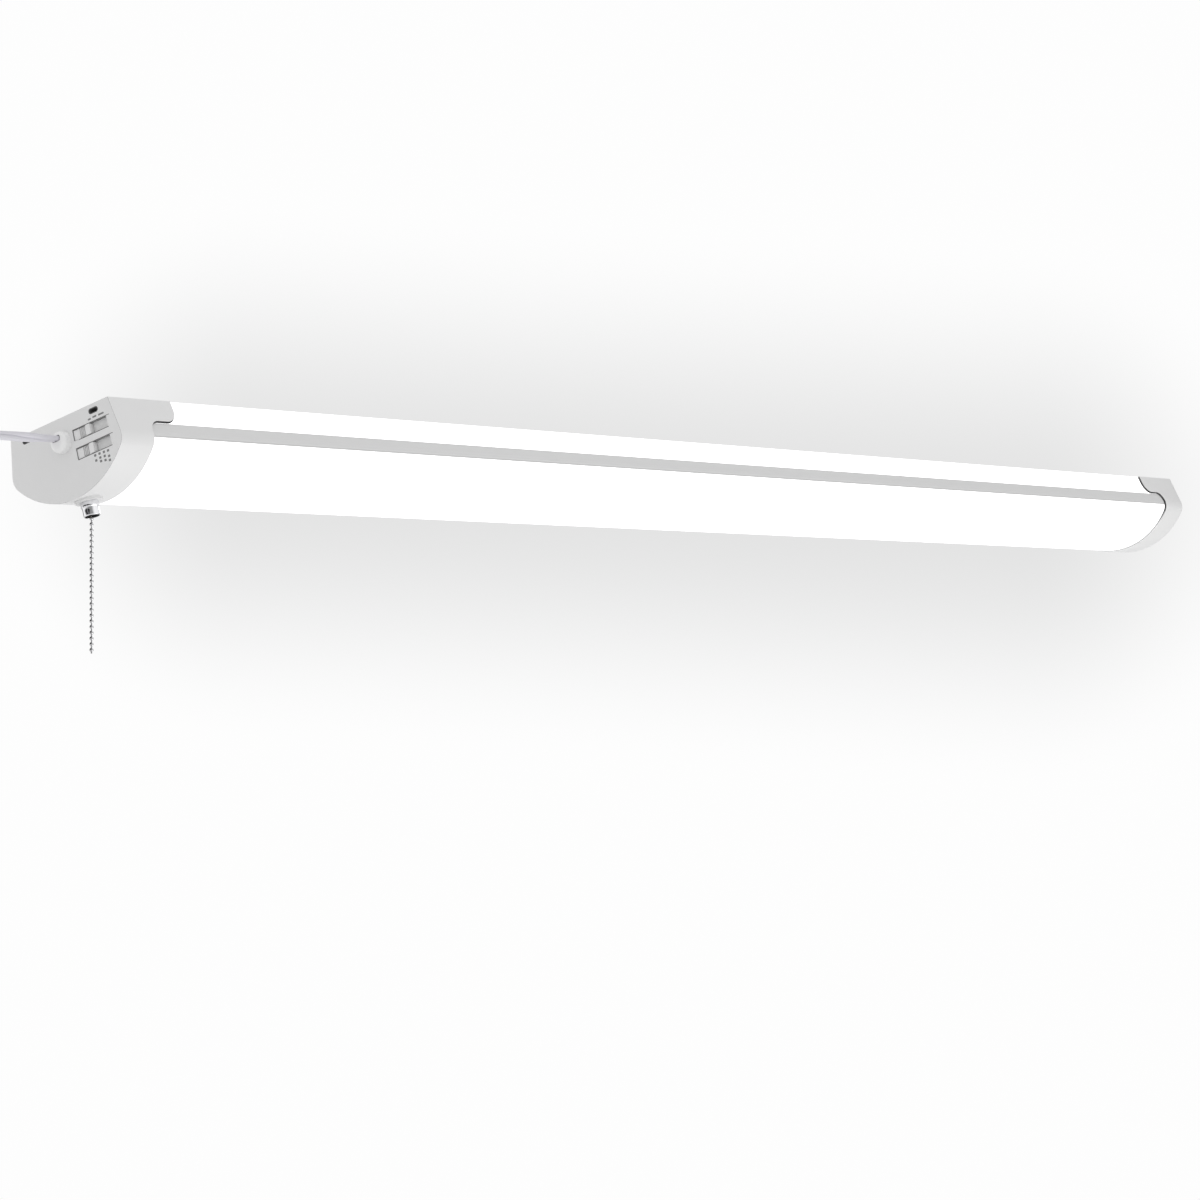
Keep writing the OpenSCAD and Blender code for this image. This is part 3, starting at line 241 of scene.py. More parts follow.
# cord: flat twin cord from the gland, past the view's edge and into a coil hung beside the light
cord = {
    "width": 5.6 * mm,
    "thickness": 3 * mm,
    "waist": 0.50,               # thickness between the two cores, as a share of the whole
    "lobePoints": 13,            # points round one core, and the angle that they reach either way
    "lobeReach": 120,
    "edgeTurn": 100,             # degrees: on edge outside the gland, and flat again after the second turn
    "turnsAt": (-0.616, -0.664),
    "turnLength": 0.04,
    "gateX": -0.750,
    "coilRadius": 37 * mm,
    "coilZ": -0.130,
    "loops": 6,
    "turnStep": 3.6 * mm,
    "layerStep": 6.2 * mm,
    "crossing": 0.5,             # part of a turn in which the cord crosses to the other layer
    "climbDip": 2 * mm,
    "tail": 40 * mm,
    "tailRings": 10,
    "ringsPerLoop": 72,
    "ringsPerSpan": 5,
    "colour": (0.70, 0.69, 0.74),
}
gateZ = cord["coilZ"] + cord["width"]
tailZ = cord["coilZ"] - cord["width"]
frontLayer = -cord["layerStep"] / 2
cordRoute = [
    (-0.5955, 0, -0.0122),
    (-0.6095, 0, -0.0122),
    (-0.622, 0, -0.0122),
    (-0.635, 0, -0.0122),
    (-0.648, 0, -0.0122),
    (-0.661, 0, -0.0122),
    (-0.675, 0, -0.013),
    (-0.689, 0, -0.017),
    (-0.703, -0.0005, -0.024),
    (-0.716, -0.001, -0.034),
    (-0.728, -0.0015, -0.047),
    (-0.737, -0.002, -0.062),
    (-0.744, -0.0025, -0.079),
    (-0.7485, -0.003, -0.095),
    (cord["gateX"], frontLayer, gateZ + 0.018),
    (cord["gateX"], frontLayer, gateZ + 0.009),
    (cord["gateX"], frontLayer, gateZ),
]


def smoothPath(points, steps):
    points = [Vector(p) for p in points]
    path = []
    for i in range(len(points) - 1):
        a, b = points[max(i - 1, 0)], points[i]
        c, d = points[i + 1], points[min(i + 2, len(points) - 1)]
        for k in range(steps):
            u = k / steps
            path.append(0.5 * (
                2 * b + (c - a) * u + (2 * a - 5 * b + 4 * c - d) * u ** 2 + (3 * b - a - 3 * c + d) * u ** 3
            ))
    return path + [points[-1]]


def easeIn(value):
    value = min(1, max(0, value))
    return value * value * (3 - 2 * value)


def coilPoint(turn):
    half, crossing = cord["loops"] / 2, cord["crossing"]
    out = abs(turn - half)
    dip = cord["climbDip"] * easeIn((1.5 * crossing - out) / crossing)
    radius = cord["coilRadius"] - cord["turnStep"] * (half - out) - dip
    angle = 2 * math.pi * turn
    return Vector((
        cord["gateX"] - cord["coilRadius"] + radius * math.cos(angle),
        frontLayer + cord["layerStep"] * easeIn((turn - half + crossing / 2) / crossing),
        cord["coilZ"] - radius * math.sin(angle),
    ))


def cordPath():
    lead = smoothPath(cordRoute, cord["ringsPerSpan"])
    rings, tailRings = cord["ringsPerLoop"], cord["tailRings"]
    coil = [coilPoint(i / rings) for i in range(cord["loops"] * rings + 1)]
    tailTop = Vector((cord["gateX"], -frontLayer, tailZ))
    tail = [tailTop + Vector((0, 0, -cord["tail"] * i / tailRings)) for i in range(tailRings + 1)]
    return lead, coil, tail


# two cores side by side, with a waist between them
def cordOutline():
    r, count, reach = cord["thickness"] / 2, cord["lobePoints"], cord["lobeReach"]
    lobe = cord["width"] / 2 - r
    sweep = [math.radians(-reach + 2 * reach * i / (count - 1)) for i in range(count)]
    right = [(lobe + r * math.cos(a), r * math.sin(a)) for a in sweep]
    return [(0, -r * cord["waist"]), *right, (0, r * cord["waist"]), *[(-x, -y) for x, y in right]]


# the cord is flat in the gland, on edge just outside it and flat again for the coil
def twistAt(x):
    onEdge = math.radians(cord["edgeTurn"])
    first, second = [easeIn((start - x) / cord["turnLength"]) for start in cord["turnsAt"]]
    return onEdge * first + (math.pi - onEdge) * second


def tangentAt(path, i):
    return (path[min(i + 1, len(path) - 1)] - path[max(i - 1, 0)]).normalized()


def makeCord(material):
    lead, coil, tail = cordPath()
    path = lead + coil + tail
    outline = cordOutline()
    bm = bmesh.new()
    rings = []
    for i, point in enumerate(path):
        turn = twistAt(point.x) if i < len(lead) else math.pi
        wide = Vector((0, math.cos(turn), -math.sin(turn)))
        along = tangentAt(path, i)
        wide = (wide - along * wide.dot(along)).normalized()
        through = along.cross(wide)
        rings.append([bm.verts.new(point + wide * x + through * y) for x, y in outline])
    count = len(outline)
    for near, far in zip(rings, rings[1:]):
        for k in range(count):
            bm.faces.new((near[k], near[(k + 1) % count], far[(k + 1) % count], far[k]))
    bm.faces.new(list(reversed(rings[0])))
    bm.faces.new(rings[-1])
    bmesh.ops.recalc_face_normals(bm, faces=bm.faces)
    shown = ("mains_cord", "cord_coil", "cord_tail")
    piece = addPiece(bm, "mainsCord", "fixture", material, shown, sharpAngle=50)
    length = sum((b - a).length for a, b in zip(path, path[1:]))
    print("cord length", round(length, 3))
    return piece, path, length


cordMaterial, _, _ = grainedMaterial("cordVinyl", cord["colour"], 0.38, 500, 0.02 * mm, toneSpread=0.05)
mainsCord, cordLine, cordLength = makeCord(cordMaterial)
print("cord made")


# tone mask: 1 between two places on one of the piece's own axes, faded over a soft edge
def axisMask(tree, axis, low, high, soft):
    where = addNode(tree, "ShaderNodeTexCoord")
    split = addNode(tree, "ShaderNodeSeparateXYZ")
    tree.links.new(where.outputs["Object"], split.inputs[0])
    sides = []
    for start, end in ((low - soft, low), (high + soft, high)):
        step = addNode(tree, "ShaderNodeMapRange", interpolation_type="SMOOTHSTEP")
        step.inputs["From Min"].default_value = start
        step.inputs["From Max"].default_value = end
        tree.links.new(split.outputs[axis], step.inputs["Value"])
        sides.append(step)
    both = addNode(tree, "ShaderNodeMath", operation="MULTIPLY")
    for slot, step in enumerate(sides):
        tree.links.new(step.outputs["Result"], both.inputs[slot])
    return both.outputs[0]


# mixes the colour that already reaches the shader towards another one
def tintWhere(tree, shader, mask, colour, socket="Base Color"):
    mix = addNode(tree, "ShaderNodeMix", data_type="RGBA")
    source = shader.inputs[socket].links[0].from_socket if shader.inputs[socket].is_linked else None
    if source:
        tree.links.new(source, mix.inputs[6])
    else:
        mix.inputs[6].default_value = shader.inputs[socket].default_value
    mix.inputs[7].default_value = (*colour, 1)
    tree.links.new(mask, mix.inputs[0])
    tree.links.new(mix.outputs[2], shader.inputs[socket])


# stretched noise: streaks along X as an extrusion or a drawn sheet has them
def makeStreakGroup():
    group = bpy.data.node_groups.new("drawnStreaks", "ShaderNodeTree")
    face = group.interface
    for label, value in (("Along", 3.0), ("Across", 1400.0)):
        face.new_socket(label, in_out="INPUT", socket_type="NodeSocketFloat").default_value = value
    face.new_socket("Streak", in_out="OUTPUT", socket_type="NodeSocketFloat")
    start, end = addNode(group, "NodeGroupInput"), addNode(group, "NodeGroupOutput")
    where = addNode(group, "ShaderNodeTexCoord")
    size = addNode(group, "ShaderNodeCombineXYZ")
    stretch = addNode(group, "ShaderNodeVectorMath", operation="MULTIPLY")
    noise = addNode(group, "ShaderNodeTexNoise")
    noise.inputs["Scale"].default_value = 1
    noise.inputs["Detail"].default_value = 4
    links = group.links
    links.new(start.outputs["Along"], size.inputs["X"])
    links.new(start.outputs["Across"], size.inputs["Y"])
    links.new(start.outputs["Across"], size.inputs["Z"])
    links.new(where.outputs["Object"], stretch.inputs[0])
    links.new(size.outputs[0], stretch.inputs[1])
    links.new(stretch.outputs[0], noise.inputs["Vector"])
    links.new(noise.outputs["Fac"], end.inputs["Streak"])
    return group


streakGroup = makeStreakGroup()


def addStreaks(tree, shader, along, across, spread):
    streak = addNode(tree, "ShaderNodeGroup", node_tree=streakGroup)
    streak.inputs["Along"].default_value = along
    streak.inputs["Across"].default_value = across
    tone = addNode(tree, "ShaderNodeMapRange")
    tone.inputs["To Min"].default_value = 1 - spread
    tone.inputs["To Max"].default_value = 1 + spread
    tree.links.new(streak.outputs["Streak"], tone.inputs["Value"])
    scaled = addNode(tree, "ShaderNodeVectorMath", operation="SCALE")
    tree.links.new(shader.inputs["Base Color"].links[0].from_socket, scaled.inputs[0])
    tree.links.new(tone.outputs["Result"], scaled.inputs["Scale"])
    tree.links.new(scaled.outputs["Vector"], shader.inputs["Base Color"])


# circuit boards: tracks and pads per metre, and the distances in a cell over which each fades in
board = {
    "pitch": 220.0,
    "whitePitch": 120,
    "track": (0.08, 0.05),
    "pad": (0.22, 0.18),
}


# copper tracks under solder mask, with tinned pads
def makeTrackGroup():
    group = bpy.data.node_groups.new("boardTracks", "ShaderNodeTree")
    face = group.interface
    face.new_socket("Pitch", in_out="INPUT", socket_type="NodeSocketFloat").default_value = board["pitch"]
    for label in ("Track", "Pad"):
        face.new_socket(label, in_out="OUTPUT", socket_type="NodeSocketFloat")
    start, end = addNode(group, "NodeGroupInput"), addNode(group, "NodeGroupOutput")
    where = addNode(group, "ShaderNodeTexCoord")
    cells = addNode(group, "ShaderNodeTexVoronoi", distance="MANHATTAN", feature="DISTANCE_TO_EDGE")
    pads = addNode(group, "ShaderNodeTexVoronoi")
    links = group.links
    for texture in (cells, pads):
        links.new(where.outputs["Object"], texture.inputs["Vector"])
        links.new(start.outputs["Pitch"], texture.inputs["Scale"])
    for texture, label in ((cells, "Track"), (pads, "Pad")):
        edge = addNode(group, "ShaderNodeMapRange", interpolation_type="SMOOTHSTEP")
        edge.inputs["From Min"].default_value, edge.inputs["From Max"].default_value = board[label.lower()]
        links.new(texture.outputs["Distance"], edge.inputs["Value"])
        links.new(edge.outputs["Result"], end.inputs[label])
    return group


trackGroup = makeTrackGroup()


def boardMaterial(name, colour, track, pad, pitch):
    material, tree, shader = grainedMaterial(name, colour, 0.38, 600, 0.02 * mm, toneSpread=0.08)
    tracks = addNode(tree, "ShaderNodeGroup", node_tree=trackGroup)
    tracks.inputs["Pitch"].default_value = pitch
    tintWhere(tree, shader, tracks.outputs["Track"], track)
    tintWhere(tree, shader, tracks.outputs["Pad"], pad)
    return material


# the cord tie's webbing: two crossed waves over a fibre grain
webbing = {
    "colour": grey(0.03),
    "threads": 420,
    "depth": 0.15 * mm,
    "sheen": 0.4,
}


def weaveMaterial(name):
    material, tree, shader = grainedMaterial(name, webbing["colour"], 0.85, 1800, 0.05 * mm, toneSpread=0.3)
    where = addNode(tree, "ShaderNodeTexCoord")
    height = shader.inputs["Normal"].links[0].from_node
    for direction in ("X", "Z"):
        wave = addNode(tree, "ShaderNodeTexWave", bands_direction=direction)
        wave.inputs["Scale"].default_value = webbing["threads"]
        tree.links.new(where.outputs["Object"], wave.inputs["Vector"])
        bump = addNode(tree, "ShaderNodeBump")
        bump.inputs["Distance"].default_value = webbing["depth"]
        tree.links.new(wave.outputs["Fac"], bump.inputs["Height"])
        tree.links.new(height.outputs["Normal"], bump.inputs["Normal"])
        height = bump
    tree.links.new(height.outputs["Normal"], shader.inputs["Normal"])
    shader.inputs["Sheen Weight"].default_value = webbing["sheen"]
    return material


# frosted lenses: they glow, less so inside the caps
lens = {
    "colour": grey(0.88),
    "glow": 1.0,
    "fadeX": (0.588, 0.62),
    "fadeSoft": 0.006,
    "fadeTone": 0.80,
}


def lensMaterial(name):
    material, tree, shader = grainedMaterial(name, lens["colour"], 0.42, 2200, 0.01 * mm, toneSpread=0.01)
    shader.inputs["Emission Strength"].default_value = lens["glow"]
    shader.inputs["Emission Color"].default_value = (1, 1, 1, 1)
    near, far = lens["fadeX"]
    for low, high in ((-far, -near), (near, far)):
        ends = axisMask(tree, "X", low, high, lens["fadeSoft"])
        tintWhere(tree, shader, ends, grey(lens["fadeTone"]), "Emission Color")
    return material


# plain finishes: name, colour, roughness, grain per metre and its depth in mm, and what else differs
finish = {
    "cap_plastic": ("capPlastic", grey(0.80), 0.46, 1400, 0.012, {"glossSpread": 0.08}),
    # painted shade on the rim's edge where it meets the glowing lenses
    "rim_shade": ("rimShade", grey(0.80), 0.6, 1400, 0.012, {}),
    # painted shade: a dark line on the caps' rounded outer edge
    "cap_edge": ("edgeShade", grey(0.24), 0.4, 1400, 0.012, {}),
    # painted shadow: the dark strip inside each cap's rim
    "lip": ("lipShade", grey(0.42), 0.6, 1400, 0.012, {}),
    # painted shade on the walls of the switch windows' pockets
    "pocket_shade": ("pocketShade", grey(0.30), 0.6, 1400, 0.012, {}),
    # painted shadow lines along the windows' long edges
    "window_line": ("windowShadeLine", grey(0.14), 0.6, 1400, 0.012, {}),
    "ink": ("greyInk", grey(0.22), 0.6, 2500, 0.004, {"toneSpread": 0.3}),
    "knob_plastic": ("knobPlastic", grey(0.82), 0.40, 1600, 0.012, {}),
    "gland_plastic": ("glandNylon", grey(0.94), 0.24, 700, 0.006, {"glossSpread": 0.1}),
    "black_plastic": ("blackPlastic", grey(0.11), 0.5, 1200, 0.03, {"toneSpread": 0.15}),
    "brown_plastic": ("brownPhenolic", (0.06, 0.045, 0.035), 0.4, 900, 0.02, {"toneSpread": 0.25}),
    "white_metal": ("powderCoat", grey(0.74), 0.44, 700, 0.03, {"glossSpread": 0.12}),
    "band": ("bandPaint", grey(0.72), 0.40, 900, 0.015, {"toneSpread": 0.02}),
    "steel": ("zincSteel", (0.62, 0.62, 0.64), 0.30, 400, 0.01,
              {"metallic": 1.0, "toneSpread": 0.18, "glossSpread": 0.2}),
    "brass": ("brass", (0.72, 0.56, 0.30), 0.28, 500, 0.01,
              {"metallic": 1.0, "toneSpread": 0.15, "glossSpread": 0.2}),
    "nickel": ("nickelPlate", (0.60, 0.60, 0.61), 0.12, 500, 0.004,
               {"metallic": 1.0, "toneSpread": 0.10, "glossSpread": 0.15}),
    "chrome": ("chromePlate", (0.90, 0.90, 0.92), 0.07, 300, 0.002,
               {"metallic": 1.0, "toneSpread": 0.04, "glossSpread": 0.08}),
    # painted shade inside the nozzle's mouth
    "bore": ("nozzleBoreShade", grey(0.05), 0.45, 700, 0.01, {"metallic": 1.0, "toneSpread": 0.2}),
    "led": ("phosphor", (0.92, 0.74, 0.18), 0.35, 900, 0.01, {"toneSpread": 0.2}),
    "wire": ("wireVinyl", (0.05, 0.05, 0.055), 0.36, 600, 0.01, {"toneSpread": 0.2}),
}
# drawn streaks: how often they change along and across, and by how much
streaks = {
    "band": (2, 1500, 0.035),
    "steel": (60, 2200, 0.08),
    "brass": (60, 1800, 0.06),
}
# painted shade over part of a piece: axis, from, to and soft edge in m, and the tone there
shades = {
    "rim_shade": ("Z", -0.026, 0.002, 0.010, 0.10),           # painted shade on the rim's edge against the glowing lenses, darkest towards the top
    "lip": ("Z", -0.028, 0.002, 0.012, 0.035),                # painted shadow: dark on the side, paler on the belly
    "knob_plastic": ("Y", -0.0179, -0.0136, 0.0003, 0.70),    # painted shade in the hollow for a finger
    "band": ("Z", -0.0240, -0.0231, 0.0005, 0.60),            # painted shadow along the seam below the band
}


def makeFinishes():
    made = {}
    for key, (name, colour, roughness, grainScale, depth, spread) in finish.items():
        made[key], tree, shader = grainedMaterial(name, colour, roughness, grainScale, depth * mm, **spread)
        if key in streaks:
            addStreaks(tree, shader, *streaks[key])
        if key in shades:
            axis, low, high, soft, tone = shades[key]
            tintWhere(tree, shader, axisMask(tree, axis, low, high, soft), grey(tone))
    made["circuit_board"] = boardMaterial("circuitBoard", (0.02, 0.13, 0.06), (0.06, 0.28, 0.12),
                                          (0.65, 0.65, 0.66), board["pitch"])
    made["white_board"] = boardMaterial("whiteSolderMask", grey(0.86), grey(0.78), grey(0.66),
                                        board["whitePitch"])
    made["tie"] = weaveMaterial("tieWebbing")
    made["diffuser"] = lensMaterial("frostedLens")
    made["cord"] = cordMaterial
    return made


finishes = makeFinishes()
for name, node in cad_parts.items():
    for place in node.material_slots:
        key = place.material.name if place.material else ""
        for label, material in finishes.items():
            if label in key:
                place.material = material
                break
        else:
            print("no finish for", name, key)
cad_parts["pull_plunger"].material_slots[0].material = finishes["nickel"]
print("finishes set")


# end caps: rounded outer edge, with painted shade on that edge, on the rim edge and on the window walls
caps = {
    "end": 0.6095,
    "endSlack": 2e-5,
    "side": 0.01,                # a wall that reaches deeper than this is the cap's side
    "edgeRounding": 0.5,
    "edgeLean": (0.12, 0.98),    # sizes of a normal's x on the rounded edge
    "rimDepth": 0.0260,
    "rimTop": -0.002,
    "rimLean": 0.2,
    "rimFlat": 0.02,
    "windowY": (-0.0362, -0.0084),
    "windowZ": (-0.0275, -0.0098),
    "pocketDepth": (1e-5, 0.0026),
    "pocketLean": 0.3,
    "looks": ["cap_plastic", "rim_shade", "pocket_shade", "cap_edge"],
}


def atEnd(edge):
    onFace = all(abs(abs(v.co.x) - caps["end"]) < caps["endSlack"] for v in edge.verts)
    deep = any(abs(v.co.x) < caps["end"] - caps["side"] for face in edge.link_faces for v in face.verts)
    return onFace and deep


# which look a cap's face takes, plain plastic or one of the painted shades, from where it lies and how it
# leans; inward is 1 or -1, along X
def capLook(face, inward):
    centre, normal = face.calc_center_median(), face.normal
    depth = caps["end"] - abs(centre.x)
    (yMin, yMax), (zMin, zMax), (pocketMin, pocketMax) = caps["windowY"], caps["windowZ"], caps["pocketDepth"]
    # the rounded edge's faces take a painted dark line
    if depth < caps["edgeRounding"] * mm and caps["edgeLean"][0] < abs(normal.x) < caps["edgeLean"][1]:
        return "cap_edge"
    # the window pockets' walls take painted shade
    inWindow = inward == 1 and yMin < centre.y < yMax and zMin < centre.z < zMax
    if inWindow and pocketMin < depth < pocketMax and abs(normal.x) < caps["pocketLean"]:
        return "pocket_shade"
    # the rim's edge against the lenses takes painted shade
    onRim = depth > caps["rimDepth"] and centre.z < caps["rimTop"] and abs(normal.y) < caps["rimFlat"]
    if onRim and (normal.x * inward > caps["rimLean"] or normal.z < -caps["rimLean"]):
        return "rim_shade"
    return "cap_plastic"


def makeCap(node, name):
    bm = softCopy(node, caps["edgeRounding"], atEnd)
    inward = 1 if node == "switch_end_cap" else -1
    for face in bm.faces:
        face.material_index = caps["looks"].index(capLook(face, inward))
    piece = addPiece(bm, name, "fixture", finishes["cap_plastic"], (node,), sharpAngle=32)
    for look in caps["looks"][1:]:
        piece.data.materials.append(finishes[look])


makeCap("switch_end_cap", "switchEndCap")
makeCap("plain_end_cap", "plainEndCap")
print("end caps made")


# shadow strips: a thin dark bead inside each cap's rim, where it meets the lenses, as painted shadow in that
# gap
lip = {
    "width": 0.85, "height": 0.3,
    "lift": 0.03,                # its foot stands this far off the lenses
    "taper": 0.1,
    "top": -0.8, "tip": 50.5, "rim": 26.5,
    "earHeight": 13.7, "earRadius": 8.5, "earFillet": 7.5,
    # the body's outer line: leaning side, round shoulder and belly
    "lean": 12.3945,
    "shoulder": (34.75, -22.7, 8.8),
    "belly": (0, 9.7355, 56.3355),
    "step": 1.2,
    "gaps": (0.05, 0.02),        # radians left out where the shoulder's and the belly's arcs start
}


# one side's line along a rim, from the top down to the middle of the belly: depth from the end, y, z, normal
def rimLine():
    line = []
    lean = math.radians(lip["lean"])
    shoulderY, shoulderZ, shoulderR = lip["shoulder"]
    sideY, sideZ = shoulderY + shoulderR * math.cos(lean), shoulderZ + shoulderR * math.sin(lean)

    def onSide(depth, z):
        if z > sideZ:
            return (depth, sideY - (z - sideZ) * math.tan(lean), z, lean)
        angle = math.asin((z - shoulderZ) / shoulderR)
        return (depth, shoulderY + shoulderR * math.cos(angle), z, angle)

    def arc(centre, radius, start, end, place):
        count = max(3, round(abs(end - start) * radius / lip["step"]))
        for i in range(count + 1):
            angle = start + (end - start) * i / count
            across, up = centre[0] + radius * math.cos(angle), centre[1] + radius * math.sin(angle)
            line.append(place(across, up, angle))

    line.append(onSide(lip["tip"], lip["top"]))
    corner = (lip["tip"] - lip["earRadius"], lip["earRadius"] - lip["earHeight"])
    arc(corner, lip["earRadius"], 0, -math.pi / 2, lambda d, z, a: onSide(d, z))
    fillet = (lip["rim"] + lip["earFillet"], -lip["earHeight"] - lip["earFillet"])
    arc(fillet, lip["earFillet"], math.pi / 2, math.pi, lambda d, z, a: onSide(d, z))
    join = math.atan2(shoulderZ - lip["belly"][1], shoulderY)
    starts = (line[-1][3] - lip["gaps"][0], join - lip["gaps"][1])
    arc((shoulderY, shoulderZ), shoulderR, starts[0], join, lambda y, z, a: (lip["rim"], y, z, a))
    arc(lip["belly"][:2], lip["belly"][2], starts[1], -math.pi / 2, lambda y, z, a: (lip["rim"], y, z, a))
    return line


def makeShadowStrip(end, name):
    half = rimLine()
    points, normals = [], []
    for side, run in ((-1, half), (1, half[-2::-1])):
        for depth, y, z, angle in run:
            points.append(Vector((end * (caps["end"] / mm - depth), side * y, z)))
            normals.append(Vector((0, side * math.cos(angle), math.sin(angle))))
    width, height, lift = lip["width"], lip["height"], lip["lift"]
    section = [(0, lift), (width, lift), (width - lip["taper"], height), (0, height)]
    bm = bmesh.new()
    rings = []
    for i, (point, normal) in enumerate(zip(points, normals)):
        across = tangentAt(points, i).cross(normal).normalized() * end
        rings.append([bm.verts.new((point + across * a + normal * h) * mm) for a, h in section])
    for near, far in zip(rings, rings[1:]):
        for k in range(4):
            bm.faces.new((near[k], near[(k + 1) % 4], far[(k + 1) % 4], far[k]))
    bm.faces.new(rings[0])
    bm.faces.new(rings[-1])
    bmesh.ops.recalc_face_normals(bm, faces=bm.faces)
    addPiece(bm, name, "fixture", finishes["lip"])


makeShadowStrip(-1, "switchCapShadowStrip")
makeShadowStrip(1, "plainCapShadowStrip")
print("lips made")


# other CAD shapes, merged so that their curves shade smoothly
softPieces = [
    # node, piece, body, finish, slot, rounding in mm
    ("lower_diffuser", "lowerDiffuser", "fixture", "diffuser", "diffuser", 0),
    ("front_side_lens", "frontSideLens", "fixture", "diffuser", "diffuser", 0.3),
    ("back_side_lens", "backSideLens", "fixture", "diffuser", "diffuser", 0.3),
    ("spine", "spineExtrusion", "fixture", "band", "white_metal", 0),
    ("top_plate", "topPlate", "fixture", "white_metal", "white_metal", 0.15),
    ("power_knob", "powerKnob", "power_slider", "knob_plastic", "knob_plastic", 0.12),
    ("colour_knob", "colourKnob", "colour_slider", "knob_plastic", "knob_plastic", 0.12),
    ("cord_gland", "cordGland", "fixture", "gland_plastic", "gland_plastic", 0),
    ("hook_sockets", "hookSockets", "fixture", "black_plastic", "black_plastic", 0.08),
    ("cord_tie", "cordTie", "fixture", "tie", "black_plastic", 0.25),
]
for node, name, body, look, slotName, rounding in softPieces:
    bm = softCopy(node, rounding, merge=0.05)
    addPiece(bm, name, body, finishes[look], (node,), sharpAngle=32)
print("soft copies made")


# nozzle: straight collar, narrower barrel and a rolled lip round the mouth, with painted shade on the bore's
# faces
nozzle = {
    "x": -0.5985,
    "steps": 72,
    "boreRadius": 4.35,
    "outline": [
        (4.80, -49.2), (5.30, -49.2), (5.42, -49.35), (5.46, -51.5), (5.55, -51.9), (5.50, -52.3),
        (5.30, -52.5), (5.05, -52.55), (4.98, -52.8), (4.96, -54.5), (4.94, -57.0), (4.90, -57.3),
        (4.80, -57.5), (4.65, -57.6), (4.50, -57.6), (4.30, -57.5), (4.10, -57.1), (3.95, -54.1),
        (4.80, -54.1), (4.80, -49.2),
    ],
}
nozzleMesh = spinProfile([(r * mm, z * mm) for r, z in nozzle["outline"]], nozzle["steps"])
# the bore's faces take painted shade
for face in nozzleMesh.faces:
    if face.calc_center_median().xy.length < nozzle["boreRadius"] * mm:
        face.material_index = 1
bmesh.ops.translate(nozzleMesh, verts=nozzleMesh.verts, vec=(nozzle["x"], 0, 0))
pullNozzle = addPiece(nozzleMesh, "pullNozzle", "fixture", finishes["chrome"], ("pull_nozzle",),
                      sharpAngle=60)
pullNozzle.data.materials.append(finishes["bore"])
print("nozzle made")


# bead chain: hollow beads with a crimped hole at each pole, joined by short wires
chain = {
    "pivot": (-0.5985, 0, -0.0555),
    "lean": (7.8, 8.2),
    "beadRadius": 1.2 * mm,
    "beadSegments": 24,
    "beadRings": 12,
    "pitch": 3.3 * mm,
    "holeRadius": 0.52 * mm,
    "dent": 0.16 * mm,
    "dentFloor": 0.8,            # share of the hole's radius
    "wireRadius": 0.4 * mm,
    "wireSegments": 12,
    "wireGap": 0.08 * mm,
    "wireChamfer": 0.08 * mm,
    "wireEnd": 0.6,              # where a wire ends inside a bead, as a share of its radius
    "tailWire": 0.9 * mm,
    "parts": [("first_link", "chain_link", 1, 1), ("upper_chain", "chain_upper", 2, 11),
              ("lower_chain", "chain_lower", 12, 24)],
}


def beadOutline():
    r, hole, rings = chain["beadRadius"], chain["holeRadius"], chain["beadRings"]
    start = math.asin(hole / r)
    arc = [start + (math.pi - 2 * start) * i / rings for i in range(rings + 1)]
    shell = [(r * math.sin(a), r * math.cos(a)) for a in arc]
    floor, height = hole * chain["dentFloor"], shell[0][1] - chain["dent"]
    return [(0, height), (floor, height), *shell, (floor, -height), (0, -height)]


def makeWire(top, bottom):
    r, chamfer = chain["wireRadius"], chain["wireChamfer"]
    outline = [(0, top), (r - chamfer, top), (r, top - chamfer), (r, bottom), (0, bottom)]
    return spinProfile(outline, chain["wireSegments"])


def makeChain():
    across, along = [math.radians(angle) for angle in chain["lean"]]
    lean = Matrix.Rotation(along, 4, "Y") @ Matrix.Rotation(across, 4, "X")
    hang = Matrix.Translation(chain["pivot"]) @ lean
    r, pitch = chain["beadRadius"], chain["pitch"]
    inside = r * chain["wireEnd"]
    for body, node, first, last in chain["parts"]:
        bm = bmesh.new()
        places = [hang @ Matrix.Translation((0, 0, -i * pitch)) for i in range(first, last + 1)]
        addCopies(bm, spinProfile(beadOutline(), chain["beadSegments"]), places)
        addCopies(bm, makeWire(pitch - r - chain["wireGap"], inside), places)
        if node == "chain_lower":
            addCopies(bm, makeWire(-inside, -r - chain["tailWire"]), places[-1:])
        name = node.replace("_", "") + "Beads"
        addPiece(bm, name, body, finishes["nickel"], (node,), sharpAngle=50)


makeChain()
print("pull chain made")


# flat-head screws with a cross recess
screw = {
    "headRadius": 2.8 * mm,
    "headSegments": 36,
    "headEdge": 0.1 * mm,
    "shankRadius": 1.45 * mm,
    "tip": 0.5 * mm,
    "tipRadius": 0.6,            # share of the shank's radius
    "arm": 1.55 * mm,
    "armHalf": 0.34 * mm,
    "recess": 1.0 * mm,
    "recessFloor": 0.55,         # share of the cross at the surface
    "turns": (1.3, 40),          # how the cross turns from screw to screw along a row, and with y
    # node, piece, screws in one row and their length in mm
    "rows": [("plate_screws", "plateScrews", 4, 6), ("cap_screws", "capScrews", 2, 4)],
}


def loopEdges(bm, verts):
    return [bm.edges.new((a, b)) for a, b in zip(verts, verts[1:] + verts[:1])]


